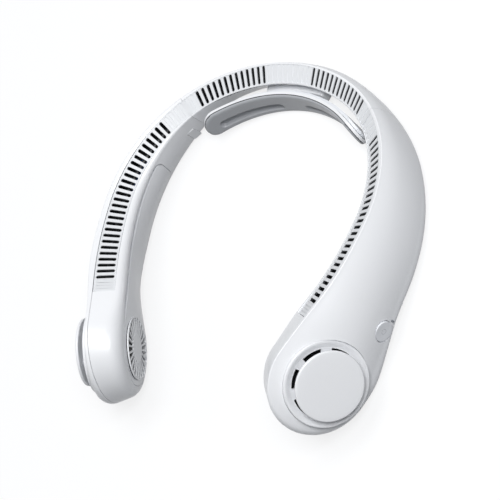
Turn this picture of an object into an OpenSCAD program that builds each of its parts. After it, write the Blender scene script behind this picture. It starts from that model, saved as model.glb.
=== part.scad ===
// Electric neck fan: a U-shaped band with an outlet strip along its rim and a fan disc at the end of each arm.
// It is drawn with the outlet line of the band in the plane z = 0 and the nape at the origin,
// +x to the wearer's right arm in the drawing, -y to the open front. stand() then lays it down as it rests.

/* [Band line] */
// Bend radius of the outlet line at the nape
nape_r = 97; // [90:1:104]
// Turn of each half of the nape, in degrees
nape_turn = 26; // [24:1:28]
// Bend radius beside the neck
side_r = 68; // [64:1:72]
// Turn beside the neck, in degrees
side_turn = 70; // [66:1:72]
// Bend radius of the arm
arm_r = 159; // [150:1:170]
// Length of the outlet line from the nape's middle to the end of the arm's bend
bend_len = 170; // [166:1:174]
// Length of the outlet line from the nape's middle to the disc
disc_s = 198; // [194:1:202]
// Length of the outlet line from the nape's middle to the seam
seam_s = 66; // [63:1:68]

/* [Cross-section] */
// Cant of the rim, in degrees
rim_cant = 26; // [22:1:29]
// Widest reach of the rim outwards from the outlet line
rim_out = 8; // [7.6:0.2:8.6]
// Widest reach of the rim inwards
rim_in = 10.8; // [10.4:0.2:11.4]
// Lean of the outer face, in degrees
face_lean = 19; // [18:0.5:21]
// Height of the outer face at the disc
face_h = 53; // [51:0.5:55]
// Widest bottom edge
bottom_w = 14.8; // [14:0.5:16]
// Crown of the outer face at the disc
outer_crown = 4; // [3:0.2:4.4]
// Crown of the inner face
inner_crown = 2; // [1.5:0.25:2.5]
// Fillet between the rim and the inner face
inner_fillet = 8; // [6:0.5:9]
// Fillet along the outer bottom edge
bottom_fillet = 7; // [5:0.5:8]
// Fillet along the inner bottom edge
underside_fillet = 5; // [4:0.5:6]
// Wall of the shells
wall = 1.8; // [1.5:0.1:2]
// Gap left at every parting line
parting = 0.2; // [0.15:0.05:0.25]

/* [Disc] */
// Radius of the disc at its outer edge
disc_r = 28; // [27:0.5:29]
// Radius of the disc at its inner edge
disc_inner_r = 23.5; // [22.5:0.5:24]
// Further reach of the inner edge at the top
disc_top_reach = 3.4; // [2.4:0.2:4]
// Further reach of the outer edge at the tip
disc_tip_reach = 1.4; // [0.8:0.2:1.8]
// Depth of the disc from edge to edge
disc_depth = 18; // [17.4:0.2:18.8]
// Crown of the disc's inner face
disc_crown = 1.5; // [1:0.25:2]
// Lean of the disc, in degrees
disc_lean = 21.5; // [20:0.5:23]
// How far the disc's centre lies outside the outlet line
disc_out = 17.2; // [16.6:0.2:17.8]
// How far the disc's centre lies below the outlet line
disc_drop = 22; // [21:0.5:23]
// Length over which the arm grows into the disc
blend_len = 45; // [40:1:50]

/* [Intake] */
// Radius of the intake ring
ring_r = 21.55; // [21:0.25:22]
// Height of the ring's edge over the disc's edge
ring_top = 3.3; // [3:0.1:3.6]
// Height of the ring's floor over the disc's edge
floor_top = 2.5; // [2.2:0.1:2.8]
// Thickness of the ring's floor
floor_t = 1.5; // [1.2:0.1:1.6]
// Width of the ring's bevel
bevel_w = 1.5; // [1.2:0.1:1.8]
// Number of intake slots
intake_count = 7; // [5:1:9]
// Outer radius of the intake slots
intake_r = 17.5; // [17.1:0.1:17.9]
// Width of the intake slots
intake_w = 3.4; // [3:0.2:4]
// Radius of the disc cap
cap_r = 17.4; // [16.8:0.1:17.8]
// Thickness of the disc cap
cap_t = 1.8; // [1.4:0.1:2.2]
// Height of the cap's top over the disc's edge
cap_top = 8.6; // [8.2:0.1:9]
// Radius of the circle of cap posts
post_circle_r = 9.5; // [9:0.25:10.5]
// Radius of a cap post
post_r = 1.8; // [1.6:0.1:2.2]

/* [Inner cover] */
// Start of the inner cover along the outlet line
cover_s = 98; // [94:1:102]
// Thickness of the inner cover
cover_t = 1.4; // [1.2:0.1:1.6]
// Radius of the grille
grille_r = 16.3; // [15.5:0.1:16.8]
// Radius of the grille's plain middle
grille_hub_r = 8; // [7:0.25:9]
// Number of grille slots
grille_count = 24; // [20:2:28]
// Width of a bar between grille slots
grille_bar = 1.1; // [0.9:0.1:1.3]

/* [Outlet strips] */
// Pitch of the outlet slots
slot_pitch = 3.4; // [3.2:0.1:3.6]
// Width of an outlet slot
slot_w = 1.7; // [1.5:0.1:1.9]
// Length of the slots at the end of the arm
slot_len = 9.6; // [9:0.2:10]
// Edge of the strip beyond the slots
strip_edge = 0.9; // [0.7:0.1:1.1]
// Thickness of the strip
strip_t = 1.5; // [1.2:0.1:1.8]
// How far the strip lies below the rim
strip_sink = 0.2; // [0.1:0.1:0.4]
// Last slot of the arm, along the outlet line
slots_end = 170; // [169:0.5:171]
// End of the arm's strip beyond its last slot
strip_tail = 8.5; // [7:0.5:9]
// Open slots on an arm
arm_slots = 27; // [25:1:28]
// Blank slots between the arm's slots and the seam
arm_blanks = 4; // [2:1:4]
// First open slot of the nape, along the outlet line
nape_slot_s = 16.6; // [15:0.2:18]
// Open slots on each side of the nape
nape_slots = 13; // [11:1:13]

/* [Neck pad] */
// Bend radius of the pad's face
pad_r = 79; // [74:1:84]
// Half the pad's length along its bend
pad_half_len = 55.5; // [54:0.5:59]
// Height of the pad
pad_h = 15.4; // [14.6:0.2:16]
// Thickness of the pad
pad_t = 3; // [2.6:0.1:3.2]
// Distance of the pad's face from the outlet line at the nape
pad_reach = 11.9; // [11.6:0.1:12.2]
// Depth of the pad's middle below the outlet line
pad_drop = 11; // [10.5:0.25:11.5]
// Forward lean of the pad, in degrees
pad_lean = 2.4; // [0:0.4:5]
// Depth of the oblong channels in the pad
channel_deep = 1; // [0.6:0.1:1.2]
// Height of the channels
channel_h = 4.4; // [3.6:0.2:5]
// Thickness of the carrier plate
carrier_t = 1.5; // [1.3:0.1:1.7]
// How far the pad laps over the carrier's edge
carrier_inset = 1.6; // [1.2:0.2:2]
// Half width of the pod that holds the pad, in degrees of the nape's bend
pod_half_turn = 12; // [10:0.5:12.5]
// Radius of the pivot knuckles
knuckle_r = 2.1; // [1.9:0.1:2.2]
// Radius of the pivot pin
pin_r = 1; // [0.8:0.1:1.1]

/* [Fan] */
// Radius of the impeller
impeller_r = 18.6; // [18:0.2:18.8]
// Height of the impeller
impeller_h = 9.6; // [9:0.2:9.8]
// Number of impeller blades
blade_count = 13; // [9:2:17]
// Thickness of a blade
blade_t = 0.9; // [0.7:0.1:1.1]
// Radius of the impeller's hub
hub_r = 8.6; // [8.4:0.1:9]
// Radius of the motor
motor_r = 7; // [6.6:0.1:7.1]
// Height of the motor
motor_h = 6; // [5.4:0.2:6.4]
// Radius of the motor shaft
shaft_r = 0.75; // [0.6:0.05:0.9]
// Running clearance of the shaft
running = 0.03; // [0.02:0.01:0.05]
// Thickness of the fan housing's plate
plate_t = 1; // [0.8:0.1:1.1]

/* [Controls] */
// Place of the power button along the outlet line
button_s = 163; // [161:0.5:165]
// Place of the button from the middle of the outer face down to its bottom fillet, as a share
button_share = 0.8; // [0.76:0.01:0.84]
// Radius of the power button
button_r = 5.2; // [4.8:0.1:5.6]
// Travel of the power button
button_travel = 0.6; // [0.4:0.1:0.7]
// Radius of the status light
light_r = 0.8; // [0.6:0.1:1]
// Length of the control board
board_len = 27; // [24:1:28]
// Width of the control board
board_w = 12.5; // [11.5:0.5:13]
// Thickness of the control board
board_t = 0.8; // [0.7:0.1:1]

/* [Hidden] */

// Shares of the line's length to the disc, each with its share of the size that it follows
rim_out_shares = [[0, 0.68], [0.15, 0.74], [0.3, 0.79], [0.45, 0.94], [0.66, 1.05], [0.86, 1.15], [1, 0.95]];
rim_in_shares = [[0, 0.49], [0.3, 0.49], [0.4, 0.56], [0.56, 0.78], [0.71, 0.89], [0.86, 1], [1, 1]];
face_h_shares = [[0, 0.35], [0.23, 0.35], [0.45, 0.57], [0.66, 0.76], [0.83, 0.845], [1, 1]];
bottom_w_shares = [[0, 0.6], [0.45, 1], [0.76, 0.98], [1, 1]];
outer_crown_shares = [[0, 0.2], [0.45, 0.33], [0.76, 0.78], [0.88, 1.2], [1, 0.93]];
inner_crown_shares = [[0, 0.12], [0.33, 0.12], [0.43, 0.6], [0.56, 1], [0.76, 0.5], [1, 0.6]];
inner_fillet_shares = [[0, 0.08], [0.3, 0.1], [0.45, 0.375], [0.66, 0.875], [1, 1]];
bottom_fillet_shares = [[0, 0.5], [0.45, 1], [0.7, 0.75], [0.82, 0.48], [0.92, 0.8], [1, 1]];
slot_len_shares = [[0, 0.73], [0.2, 0.73], [0.45, 0.81], [0.86, 1], [1, 1]];

// Counts of steps on the swept skins, and of sides on round pieces
face_steps = 2;
fillet_steps = 4;
settle_rounds = 4;
fan_steps = 12;
round_fn = 48;
small_fn = 24;
arc_fn = 4 * round_fn;

// Smaller sizes of the shells
step_len = 6;
crease_r = 0.4;
rim_lip = 1.5;
min_edge = 0.06;
arc_share = 0.97;
cover_grow = 1;
overrun = 1;
seat_gap = 0.3;

// Smaller sizes of the intake, the cap and its screws
intake_land = 18;
ring_lip_share = 0.33;
post_turns = [30, 150, 270];
cap_screw_r = 0.7;
cap_screw_head_r = 1.4;
cap_screw_head_t = 0.8;
cap_edge_r = 0.8;
cap_bite = 3;

// Smaller sizes of the fan
motor_gap = 0.6;
scroll_gap = 0.7;
scroll_t = 1;
scroll_open = 110;
plate_lip = 4;
spider_turn = 90;
spider_land = 16;
bearing_r = 2;
bearing_t = 1.2;
hub_wall = 1;
shaft_over = 0.4;
blade_lean = 40;
blade_steps = 4;
blade_len = 6;

// Seam: plug, screw and joiner
plug_from_seam = 8;
plug_s = seam_s + plug_from_seam;
plug_share = 0.5;
plug_w = 4.6;
plug_h = 10.4;
plug_t = 0.6;
screw_r = 0.9;
screw_head_r = 1.7;
screw_head_t = 0.6;
screw_len = 5;
joiner_back = 6;
joiner_ahead = 12;
joiner_t = 1;
joiner_gap = 0.45;

// Battery
cell_s = 112;
cell_len = 34;
cell_clear = 3.9;
cell_t = 5.6;
cell_in = -0.1;
cell_lift = 2.6;

// Controls
button_gap = 0.2;
button_rise = 0.3;
button_rest = 1.1;
button_skirt = 0.7;
button_lip = 0.5;
stem_r = 1.6;
stem_len = 0.4;
plunger_gap = 0.3;
plunger_r = 1.7;
plunger_h = 0.8;
switch_t = 2.2;
switch_w = 6;
light_back = 6.6;
light_low = 2;
led_w = 1.8;
led_t = 0.7;
chip_w = 5;
chip_t = 0.9;
usb_w = 8.9;
usb_t = 3.2;
usb_len = 6.8;
usb_gap = 0.25;
usb_sink = 0.6;
usb_skin = 0.3;
usb_back = 13;
board_back = 5;
board_lap_share = 0.65;

// Wiring
wire_r = 1.1;
wire_under = 5.2;
wire_end = 172;
wire_sides = 8;

// Line of the band: [x, y, heading in degrees], the heading turning from +x towards -y
nape_len = nape_r * PI * nape_turn / 180;
side_len = side_r * PI * side_turn / 180;
side_end = nape_len + side_len;
function bend(from, r, length) =
    let (turned = from[2] + length / r * 180 / PI)
    [from[0] + r * (sin(turned) - sin(from[2])), from[1] + r * (cos(turned) - cos(from[2])), turned];
nape_mid = [0, 0, 0];
side_start = bend(nape_mid, nape_r, nape_len);
arm_start = bend(side_start, side_r, side_len);
arm_stop = bend(arm_start, arm_r, bend_len - side_end);
function half_line(s) =
    s <= nape_len ? bend(nape_mid, nape_r, s)
    : s <= side_end ? bend(side_start, side_r, s - nape_len)
    : s <= bend_len ? bend(arm_start, arm_r, s - side_end)
    : [arm_stop[0] + (s - bend_len) * cos(arm_stop[2]), arm_stop[1] - (s - bend_len) * sin(arm_stop[2]), arm_stop[2]];
function line(s) = let (p = half_line(abs(s)), side = sign(s)) [side * p[0], p[1], side * p[2]];

// A point [n, z] of the cross-section at s, where n points outwards and z up
function on_section(s, q) =
    let (p = line(s)) [p[0] + q[0] * sin(p[2]), p[1] + q[0] * cos(p[2]), q[1]];

// Smooth reading of a table of shares
function knot_slope(t, i) =
    i <= 0 || i >= len(t) - 1 ? 0 : (t[i + 1][1] - t[i - 1][1]) / (t[i + 1][0] - t[i - 1][0]);
function smooth(t, x) =
    x <= t[0][0] ? t[0][1]
    : x >= t[len(t) - 1][0] ? t[len(t) - 1][1]
    : let (
        i = max([for (k = [0:len(t) - 2]) if (t[k][0] <= x) k]),
        h = t[i + 1][0] - t[i][0],
        u = (x - t[i][0]) / h
    )
    t[i][1] * (1 + 2 * u) * pow(1 - u, 2) + t[i + 1][1] * u * u * (3 - 2 * u)
    + h * knot_slope(t, i) * u * pow(1 - u, 2) - h * knot_slope(t, i + 1) * u * u * (1 - u);
function ease(x) = let (u = max(0, min(1, x))) u * u * (3 - 2 * u);
function unit(v) = v / norm(v);
function turned_left(v) = [-v[1], v[0]];

// Disc: its axis and its up direction in the cross-section at disc_s
disc_axis = [cos(disc_lean), sin(disc_lean)];
disc_up = [-sin(disc_lean), cos(disc_lean)];
disc_centre = [disc_out, -disc_drop];

// Corners of the cross-section: rim outside, rim inside, bottom inside, bottom outside.
// The bottom outside corner is drawn in by the fall of the crowned face past its fillet.
function low_fillet(x) = bottom_fillet * smooth(bottom_fillet_shares, x);
function fillet_back(x) = low_fillet(x) / tan(45 - face_lean / 2);
function arm_corners(x) =
    let (
        rim = [cos(rim_cant), sin(rim_cant)],
        height = face_h * smooth(face_h_shares, x),
        top_out = rim_out * smooth(rim_out_shares, x) * rim,
        top_in = -rim_in * smooth(rim_in_shares, x) * rim,
        foot = top_out + height * [sin(face_lean), -cos(face_lean)],
        fall = 4 * outer_crown * smooth(outer_crown_shares, x) * fillet_back(x) / (height - fillet_back(x)),
        low_out = foot - [fall / cos(face_lean), 0],
        low_in = foot - [bottom_w * smooth(bottom_w_shares, x), 0]
    )
    [top_out, top_in, low_in, low_out];
disc_corners = [
    disc_centre + disc_r * disc_up,
    disc_centre - disc_depth * disc_axis + (disc_inner_r + disc_top_reach) * disc_up,
    disc_centre - disc_depth * disc_axis - disc_inner_r * disc_up,
    disc_centre - disc_r * disc_up
];
function corners(s) =
    let (k = ease((abs(s) - disc_s + blend_len) / blend_len), a = arm_corners(abs(s) / disc_s))
    [for (i = [0:3]) a[i] * (1 - k) + disc_corners[i] * k];

// Fillet between the lines from b to a and from b to c, no longer than the reach towards c
function fillet(a, b, c, r, reach) =
    let (
        u = unit(a - b),
        v = unit(c - b),
        half_tan = sqrt((1 - u * v) / (1 + u * v)),
        back = min(r / half_tan, reach),
        middle = b + unit(u + v) * back * sqrt(1 + half_tan * half_tan),
        start = b + u * back - middle,
        swing = -sign(u[0] * v[1] - u[1] * v[0]) * (180 - 2 * atan(half_tan))
    )
    [for (i = [0:fillet_steps - 1])
        let (w = swing * i / (fillet_steps - 1))
        middle + [start[0] * cos(w) - start[1] * sin(w), start[0] * sin(w) + start[1] * cos(w)]];

// Half of a face and its corner, from the face's middle m with normal out, round the corner b,
// to the point that lies reach along the next edge towards c. depth moves it all inwards.
function half_profile(m, out, b, c, r, reach, depth) =
    let (
        a = m + out * ((m - b) * out),
        u = unit(a - b),
        v = unit(c - b),
        half_sin = sqrt((1 - u * v) / 2),
        half_tan = half_sin / sqrt((1 + u * v) / 2),
        inwards = unit(u - v * (u * v)),
        end = b + v * reach + inwards * depth,
        drop = max(0, min_edge - reach + depth / half_tan),
        corner = b + unit(u + v) * depth / half_sin + u * drop,
        arc = fillet(corner + u, corner, end, max(r - depth, min_edge), norm(end - corner) * arc_share),
        middle = m - out * depth,
        rise = (middle - arc[0]) * out
    )
    [middle,
     for (i = [1:face_steps])
        let (w = i / (face_steps + 1)) middle + (arc[0] - middle) * w + out * rise * (w - w * w),
     each arc,
     end];
function reversed(v) = [for (i = [len(v) - 1:-1:0]) v[i]];
function tail(v) = [for (i = [1:len(v) - 1]) v[i]];

// How wide the strip is on each side of the outlet line
function slot_half(s) = slot_len * smooth(slot_len_shares, abs(s) / disc_s) / 2;
function strip_half(s) = slot_half(s) + strip_edge;
strip_stop = slots_end + strip_tail;

// Outer and inner face of the cross-section: middle and outward normal
function face_mid(a, b, share, crown, flip) =
    let (out = flip * turned_left(unit(a - b)) * -1) [a + (b - a) * share + out * crown, out];
function outer_mid(s) =
    let (
        q = corners(s),
        x = abs(s) / disc_s,
        k = ease((abs(s) - disc_s + blend_len) / blend_len),
        height = face_h * smooth(face_h_shares, x),
        share = (1 - fillet_back(x) / height * (1 - k)) / 2,
        crown = outer_crown * smooth(outer_crown_shares, x)
    )
    face_mid(q[0], q[3], share, crown * (1 + (1 - k) * fillet_back(x) / height), 1);
inner_mid_share = (disc_inner_r + disc_top_reach) / (2 * disc_inner_r + disc_top_reach);
function inner_mid(s) =
    let (
        q = corners(s),
        k = ease((abs(s) - disc_s + blend_len) / blend_len),
        arm_crown = inner_crown * smooth(inner_crown_shares, abs(s) / disc_s),
        share = 0.5 + (inner_mid_share - 0.5) * k
    )
    face_mid(q[1], q[2], share, arm_crown * (1 - k) + disc_crown * k, -1);

// Profile of the outer shell at s, from the rim to the bottom parting
function outer_profile(s, depth) =
    let (
        q = corners(s),
        m = outer_mid(s),
        low_r = low_fillet(abs(s) / disc_s),
        rim_reach = norm(q[0]) - strip_half(min(abs(s), strip_stop)) - parting,
        k = ease((abs(s) - strip_stop) / (disc_s - strip_stop)),
        top = half_profile(m[0], m[1], q[0], q[1], crease_r, rim_reach * (1 - k) + rim_lip * k, depth),
        low = half_profile(m[0], m[1], q[3], q[2], low_r, norm(q[2] - q[3]) / 2 - parting / 2, depth)
    )
    concat(reversed(top), tail(low));

// How far the inner face is set back under the inner cover
function setback(s) = abs(s) > cover_s - cover_grow ? cover_t + parting : 0;

// The largest radius that a fillet between a face and the edge from b to c has within a reach
function fillet_limit(m, b, c, reach) =
    let (u = unit(m[0] + m[1] * ((b - m[0]) * m[1]) - b), v = unit(c - b))
    reach * arc_share * sqrt((1 - u * v) / (1 + u * v));

// Profile of the inner shell at s, from the bottom parting to the rim
function inner_profile(s, depth, closed) =
    let (
        q = corners(s),
        m = inner_mid(s),
        back = setback(s),
        along_top = unit(q[0] - q[1]),
        along_low = unit(q[3] - q[2]),
        top_back = -back / (m[1] * along_top),
        low_back = -back / (m[1] * along_low),
        low_r = min(underside_fillet, low_fillet(abs(s) / disc_s)),
        k = ease((abs(s) - strip_stop) / (disc_s - strip_stop)),
        wide_r = inner_fillet * smooth(inner_fillet_shares, abs(s) / disc_s),
        tight_r = fillet_limit(m, q[1], q[0], norm(q[1]) - strip_half(strip_stop) - parting),
        top_r = closed ? min(wide_r, tight_r) * (1 - k) + wide_r * k : wide_r,
        outer_reach = (norm(q[0]) - strip_half(strip_stop) - parting) * (1 - k) + rim_lip * k,
        open_reach = norm(q[1]) - strip_half(abs(s)) - parting - top_back,
        full_reach = norm(q[0] - q[1]) - outer_reach - parting - top_back,
        top = half_profile(m[0] - m[1] * back, m[1], q[1] + along_top * top_back, q[0], top_r,
                           closed ? full_reach : open_reach, depth),
        low = half_profile(m[0] - m[1] * back, m[1], q[2] + along_low * low_back, q[3], low_r,
                           norm(q[2] - q[3]) / 2 - parting / 2 - low_back, depth)
    )
    concat(reversed(low), tail(top));

// Half profiles of the disc at an angle from its top round its tip to its bottom, as [along axis, radius]
function tip_r(a) = disc_r + disc_tip_reach * pow(sin(a), 2);
function tip_inner_r(a) = disc_inner_r + disc_top_reach * pow(max(0, cos(a)), 2);
function outer_tip(a, depth) =
    let (
        r = tip_r(a),
        low = (1 - cos(a)) / 2,
        corner = [0, r],
        next = [-disc_depth, tip_inner_r(a)],
        low_reach = norm(next - corner) / 2 - parting / 2
    )
    half_profile([outer_crown, 0], [1, 0], corner, next, crease_r + (bottom_fillet - crease_r) * low,
                 rim_lip + (low_reach - rim_lip) * low, depth);
function inner_tip(a, depth) =
    let (
        r = tip_r(a),
        low = (1 - cos(a)) / 2,
        back = cover_t + parting,
        next = [0, r],
        edge = next - [-disc_depth, tip_inner_r(a)],
        edge_back = back * norm(edge) / disc_depth,
        corner = [-disc_depth, tip_inner_r(a)] + unit(edge) * edge_back,
        low_reach = norm(edge) / 2 - parting / 2 - edge_back,
        top_reach = norm(edge) - rim_lip - parting - edge_back
    )
    half_profile([back - disc_depth - disc_crown, 0], [-1, 0], corner, next,
                 inner_fillet + (underside_fillet - inner_fillet) * low,
                 top_reach + (low_reach - top_reach) * low, depth);
function on_disc(q, a) =
    let (
        p = line(disc_s),
        radial = disc_up * cos(a) * q[1],
        flat = disc_centre + disc_axis * q[0] + radial,
        ahead = q[1] * sin(a)
    )
    [p[0] + flat[0] * sin(p[2]) + ahead * cos(p[2]), p[1] + flat[0] * cos(p[2]) - ahead * sin(p[2]), flat[1]];

// A sweep of open wall profiles. rings holds one ring per station: the outer skin, then the inner skin
// backwards. tip holds one pair of half profiles per step round the disc, from the profile's first side
// to its last, and closes the end; without it the end is flat.
function quad_faces(a, b, c, d) = [[a, b, c], [a, c, d]];
function ring_faces(rings, n) =
    [for (i = [0:rings - 2], j = [0:n - 1])
        each quad_faces(i * n + j, i * n + (j + 1) % n, (i + 1) * n + (j + 1) % n, (i + 1) * n + j)];
function end_faces(first, n, flip) =
    [for (j = [0:n / 2 - 2])
        let (a = first + j, b = first + j + 1, c = first + n - 2 - j, d = first + n - 1 - j)
        each (flip ? quad_faces(a, b, c, d) : quad_faces(d, c, b, a))];
function tip_index(last, n, p, steps, j, i, inner) =
    let (pole = inner ? n - 1 - p : p, side = inner ? -1 : 1)
    i == 0 ? last + pole
    : j == 0 ? last + pole - side * i
    : j == steps ? last + pole + side * i
    : last + n + (j - 1) * 2 * p + (inner ? p : 0) + i - 1;
function tip_faces(last, n, p, steps) =
    [for (j = [0:steps - 1])
        each concat(
            [for (i = [0:p - 1])
                let (
                    a = tip_index(last, n, p, steps, j, i, false),
                    b = tip_index(last, n, p, steps, j + 1, i, false),
                    c = tip_index(last, n, p, steps, j + 1, i + 1, false),
                    d = tip_index(last, n, p, steps, j, i + 1, false)
                )
                each (i == 0 ? [[a, c, d]] : quad_faces(a, b, c, d))],
            [for (i = [0:p - 1])
                let (
                    a = tip_index(last, n, p, steps, j, i, true),
                    b = tip_index(last, n, p, steps, j, i + 1, true),
                    c = tip_index(last, n, p, steps, j + 1, i + 1, true),
                    d = tip_index(last, n, p, steps, j + 1, i, true)
                )
                each (i == 0 ? [[a, b, c]] : quad_faces(a, b, c, d))],
            quad_faces(
                tip_index(last, n, p, steps, j, p, false), tip_index(last, n, p, steps, j + 1, p, false),
                tip_index(last, n, p, steps, j + 1, p, true), tip_index(last, n, p, steps, j, p, true)
            )
        )];
module wall_sweep(rings, tip = []) {
    n = len(rings[0]);
    p = (n / 2 - 1) / 2;
    steps = len(tip) + 1;
    last = (len(rings) - 1) * n;
    points = concat([for (r = rings) each r], [for (t = tip) each t]);
    faces = concat(
        ring_faces(len(rings), n),
        end_faces(0, n, false),
        len(tip) == 0 ? end_faces(last, n, true) : tip_faces(last, n, p, steps)
    );
    polyhedron(points = points, faces = faces, convexity = 12);
}
function stations(from, to) =
    let (count = ceil((to - from) / step_len)) [for (i = [0:count]) from + (to - from) * i / count];

// Rings and tips of the shells
function outer_ring(s) =
    [for (q = concat(outer_profile(s, 0), reversed(outer_profile(s, wall)))) on_section(s, q)];
function inner_ring(s, closed) =
    [for (q = concat(inner_profile(s, 0, closed), reversed(inner_profile(s, wall, closed)))) on_section(s, q)];
function outer_tips() =
    [for (j = [1:fan_steps - 1])
        let (a = 180 * j / fan_steps)
        [for (q = concat(tail(outer_tip(a, 0)), tail(outer_tip(a, wall)))) on_disc(q, a)]];
function inner_tips() =
    [for (j = [1:fan_steps - 1])
        let (a = 180 - 180 * j / fan_steps)
        [for (q = concat(tail(inner_tip(a, 0)), tail(inner_tip(a, wall)))) on_disc(q, a)]];

outer_arm_rings = [for (s = stations(seam_s + parting / 2, disc_s)) outer_ring(s)];
inner_arm_rings = concat(
    [for (s = stations(seam_s + parting / 2, cover_s - cover_grow)) inner_ring(s, false)],
    [for (s = stations(cover_s - parting, strip_stop + parting)) inner_ring(s, false)],
    [for (s = stations(strip_stop + 2 * parting, disc_s)) inner_ring(s, true)]
);

// How the fan lies at rest: tilted so that the nape and the discs both touch the ground
rest_points = concat([for (r = outer_arm_rings) each r], [for (r = inner_arm_rings) each r],
                     [for (t = outer_tips()) each t],
                     [for (s = stations(0, seam_s)) each concat(outer_ring(s), inner_ring(s, false))]);
function lowest(points, tilt) =
    let (heights = [for (p = points) p[1] * sin(tilt) + p[2] * cos(tilt)]) points[search(min(heights), heights)[0]];
nape_points = [for (p = rest_points) if (p[1] > -nape_r / 2) p];
disc_points = [for (p = rest_points) if (p[1] < -nape_r) p];
function settle(tilt, rounds) =
    rounds == 0 ? tilt
    : let (a = lowest(nape_points, tilt), b = lowest(disc_points, tilt))
    settle(-atan((a[2] - b[2]) / (a[1] - b[1])), rounds - 1);
rest_tilt = settle(-rim_cant / 2, settle_rounds);
rest_lows = [for (p = rest_points) p[1] * sin(rest_tilt) + p[2] * cos(rest_tilt)];
rest_reach = [for (p = rest_points) p[1] * cos(rest_tilt) - p[2] * sin(rest_tilt)];
rest_shift = [0, -(min(rest_reach) + max(rest_reach)) / 2, -min(rest_lows)];
module stand() {
    translate(rest_shift)
        rotate([rest_tilt, 0, 0])
            children();
}

// Frames: x along the line, y outwards, z up; then the canted rim; then the disc with z along its axis
module at_line(s) {
    p = line(s);
    translate([p[0], p[1], 0])
        rotate([0, 0, -p[2]])
            children();
}
module at_rim(s) {
    at_line(s)
        rotate([rim_cant, 0, 0])
            children();
}
module at_disc() {
    at_line(disc_s)
        translate([0, disc_centre[0], disc_centre[1]])
            rotate([disc_lean - 90, 0, 0])
                rotate([0, 0, 180])
                    children();
}

// A point on the lower half of a face, and the way down the face there.
// share runs from the middle of the face to its bottom fillet.
function lower_point(m, b, c, r, share) =
    let (
        h = half_profile(m[0], m[1], b, c, r, norm(c - b) / 2, 0),
        run = h[face_steps + 1] - h[0],
        rise = -run * m[1]
    )
    [h[0] + run * share + m[1] * rise * (share - share * share), run + m[1] * rise * (1 - 2 * share)];

// Outer face at the button: x backwards along the arm, y up the face, z out of it
button_q = corners(button_s);
button_at = lower_point(outer_mid(button_s), button_q[3], button_q[2], low_fillet(button_s / disc_s), button_share);
button_angle = atan2(-button_at[1][1], button_at[1][0]);
module at_button() {
    at_line(button_s)
        translate([0, button_at[0][0], button_at[0][1]])
            rotate([-button_angle, 0, 0])
                rotate([0, 0, 180])
                    children();
}

// Inner face at the seam screw: y up the face, z out of it
plug_q = corners(plug_s);
plug_at = lower_point(inner_mid(plug_s), plug_q[2], plug_q[3], underside_fillet / 2, plug_share);
plug_angle = atan2(-plug_at[1][1], plug_at[1][0]);
module at_plug() {
    at_line(plug_s)
        translate([0, plug_at[0][0], plug_at[0][1]])
            rotate([180 - plug_angle, 0, 0])
                children();
}

module white_plastic() {
    color([0.91, 0.93, 0.96])
        children();
}

// Controls, stacked inwards from the outer face
board_top = -(wall + button_rest + button_skirt + button_travel + stem_len + plunger_gap + switch_t);
usb_at = board_top - board_t / 2;
face_below = (button_at[0] - button_q[3]) * unit([-button_at[1][0], -button_at[1][1]]);
bottom_slope = tan(90 - button_angle);
usb_lift = corners(button_s - usb_back)[3][1] - button_q[3][1];
usb_mouth = -face_below - usb_at * bottom_slope + usb_lift + usb_sink;
module usb_shape(grow) {
    half = usb_w / 2 - usb_t / 2;
    translate([-half, 0])
        circle(r = usb_t / 2 + grow, $fn = small_fn);
    translate([half, 0])
        circle(r = usb_t / 2 + grow, $fn = small_fn);
    translate([-half, -usb_t / 2 - grow])
        square([2 * half, usb_t + 2 * grow]);
}
module usb_hole() {
    at_usb()
        translate([0, 0, -usb_len - usb_gap])
            linear_extrude(height = usb_len + usb_gap + 2 * wall)
                usb_shape(usb_gap);
}
module at_usb() {
    at_button()
        translate([usb_back, usb_mouth, usb_at])
            rotate([90, 0, 0])
                children();
}

module outer_shell() {
    difference() {
        wall_sweep(outer_arm_rings, outer_tips());
        at_disc()
            translate([0, 0, -2 * wall])
                cylinder(r = ring_r + parting / 2, h = 4 * wall + outer_crown, $fn = round_fn);
    }
}

module rear_outer_shell() {
    white_plastic()
        wall_sweep([for (s = stations(-seam_s + parting / 2, seam_s - parting / 2)) outer_ring(s)]);
}

module right_outer_shell() {
    white_plastic()
        difference() {
            outer_shell();
            at_button()
                translate([0, 0, -2 * wall])
                    cylinder(r = button_r + button_gap, h = 4 * wall, $fn = round_fn);
            at_button()
                translate([0, 0, -4 * wall])
                    cylinder(r = button_r + button_lip + button_gap, h = 3 * wall - button_rest / 2, $fn = round_fn);
            at_button()
                translate([light_back, -light_low, -4 * wall])
                    cylinder(r = light_r + button_gap / 2, h = 6 * wall, $fn = small_fn);
            usb_hole();
        }
}

module left_outer_shell() {
    white_plastic()
        mirror([1, 0, 0])
            outer_shell();
}

module grille_hole() {
    at_disc()
        translate([0, 0, -disc_depth - disc_crown - overrun])
            cylinder(r = grille_r + parting, h = 3 * wall + disc_crown + overrun, $fn = round_fn);
}

module plug_holes() {
    at_plug()
        translate([-plug_w / 2 - parting / 2, -plug_h / 2 - parting / 2, -plug_t - parting / 2])
            cube([plug_w + parting, plug_h + parting, 3 * plug_t]);
    at_plug()
        translate([0, 0, -plug_t - parting - screw_head_t])
            cylinder(r = screw_head_r + parting / 2, h = screw_head_t + 2 * parting, $fn = small_fn);
    at_plug()
        translate([0, 0, -2 * wall])
            cylinder(r = screw_r + parting / 2, h = 3 * wall, $fn = small_fn);
}

module inner_shell() {
    difference() {
        wall_sweep(inner_arm_rings, inner_tips());
        grille_hole();
        plug_holes();
    }
}

module right_inner_shell() {
    white_plastic()
        difference() {
            inner_shell();
            usb_hole();
        }
}

module left_inner_shell() {
    white_plastic()
        mirror([1, 0, 0])
            inner_shell();
}

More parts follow.
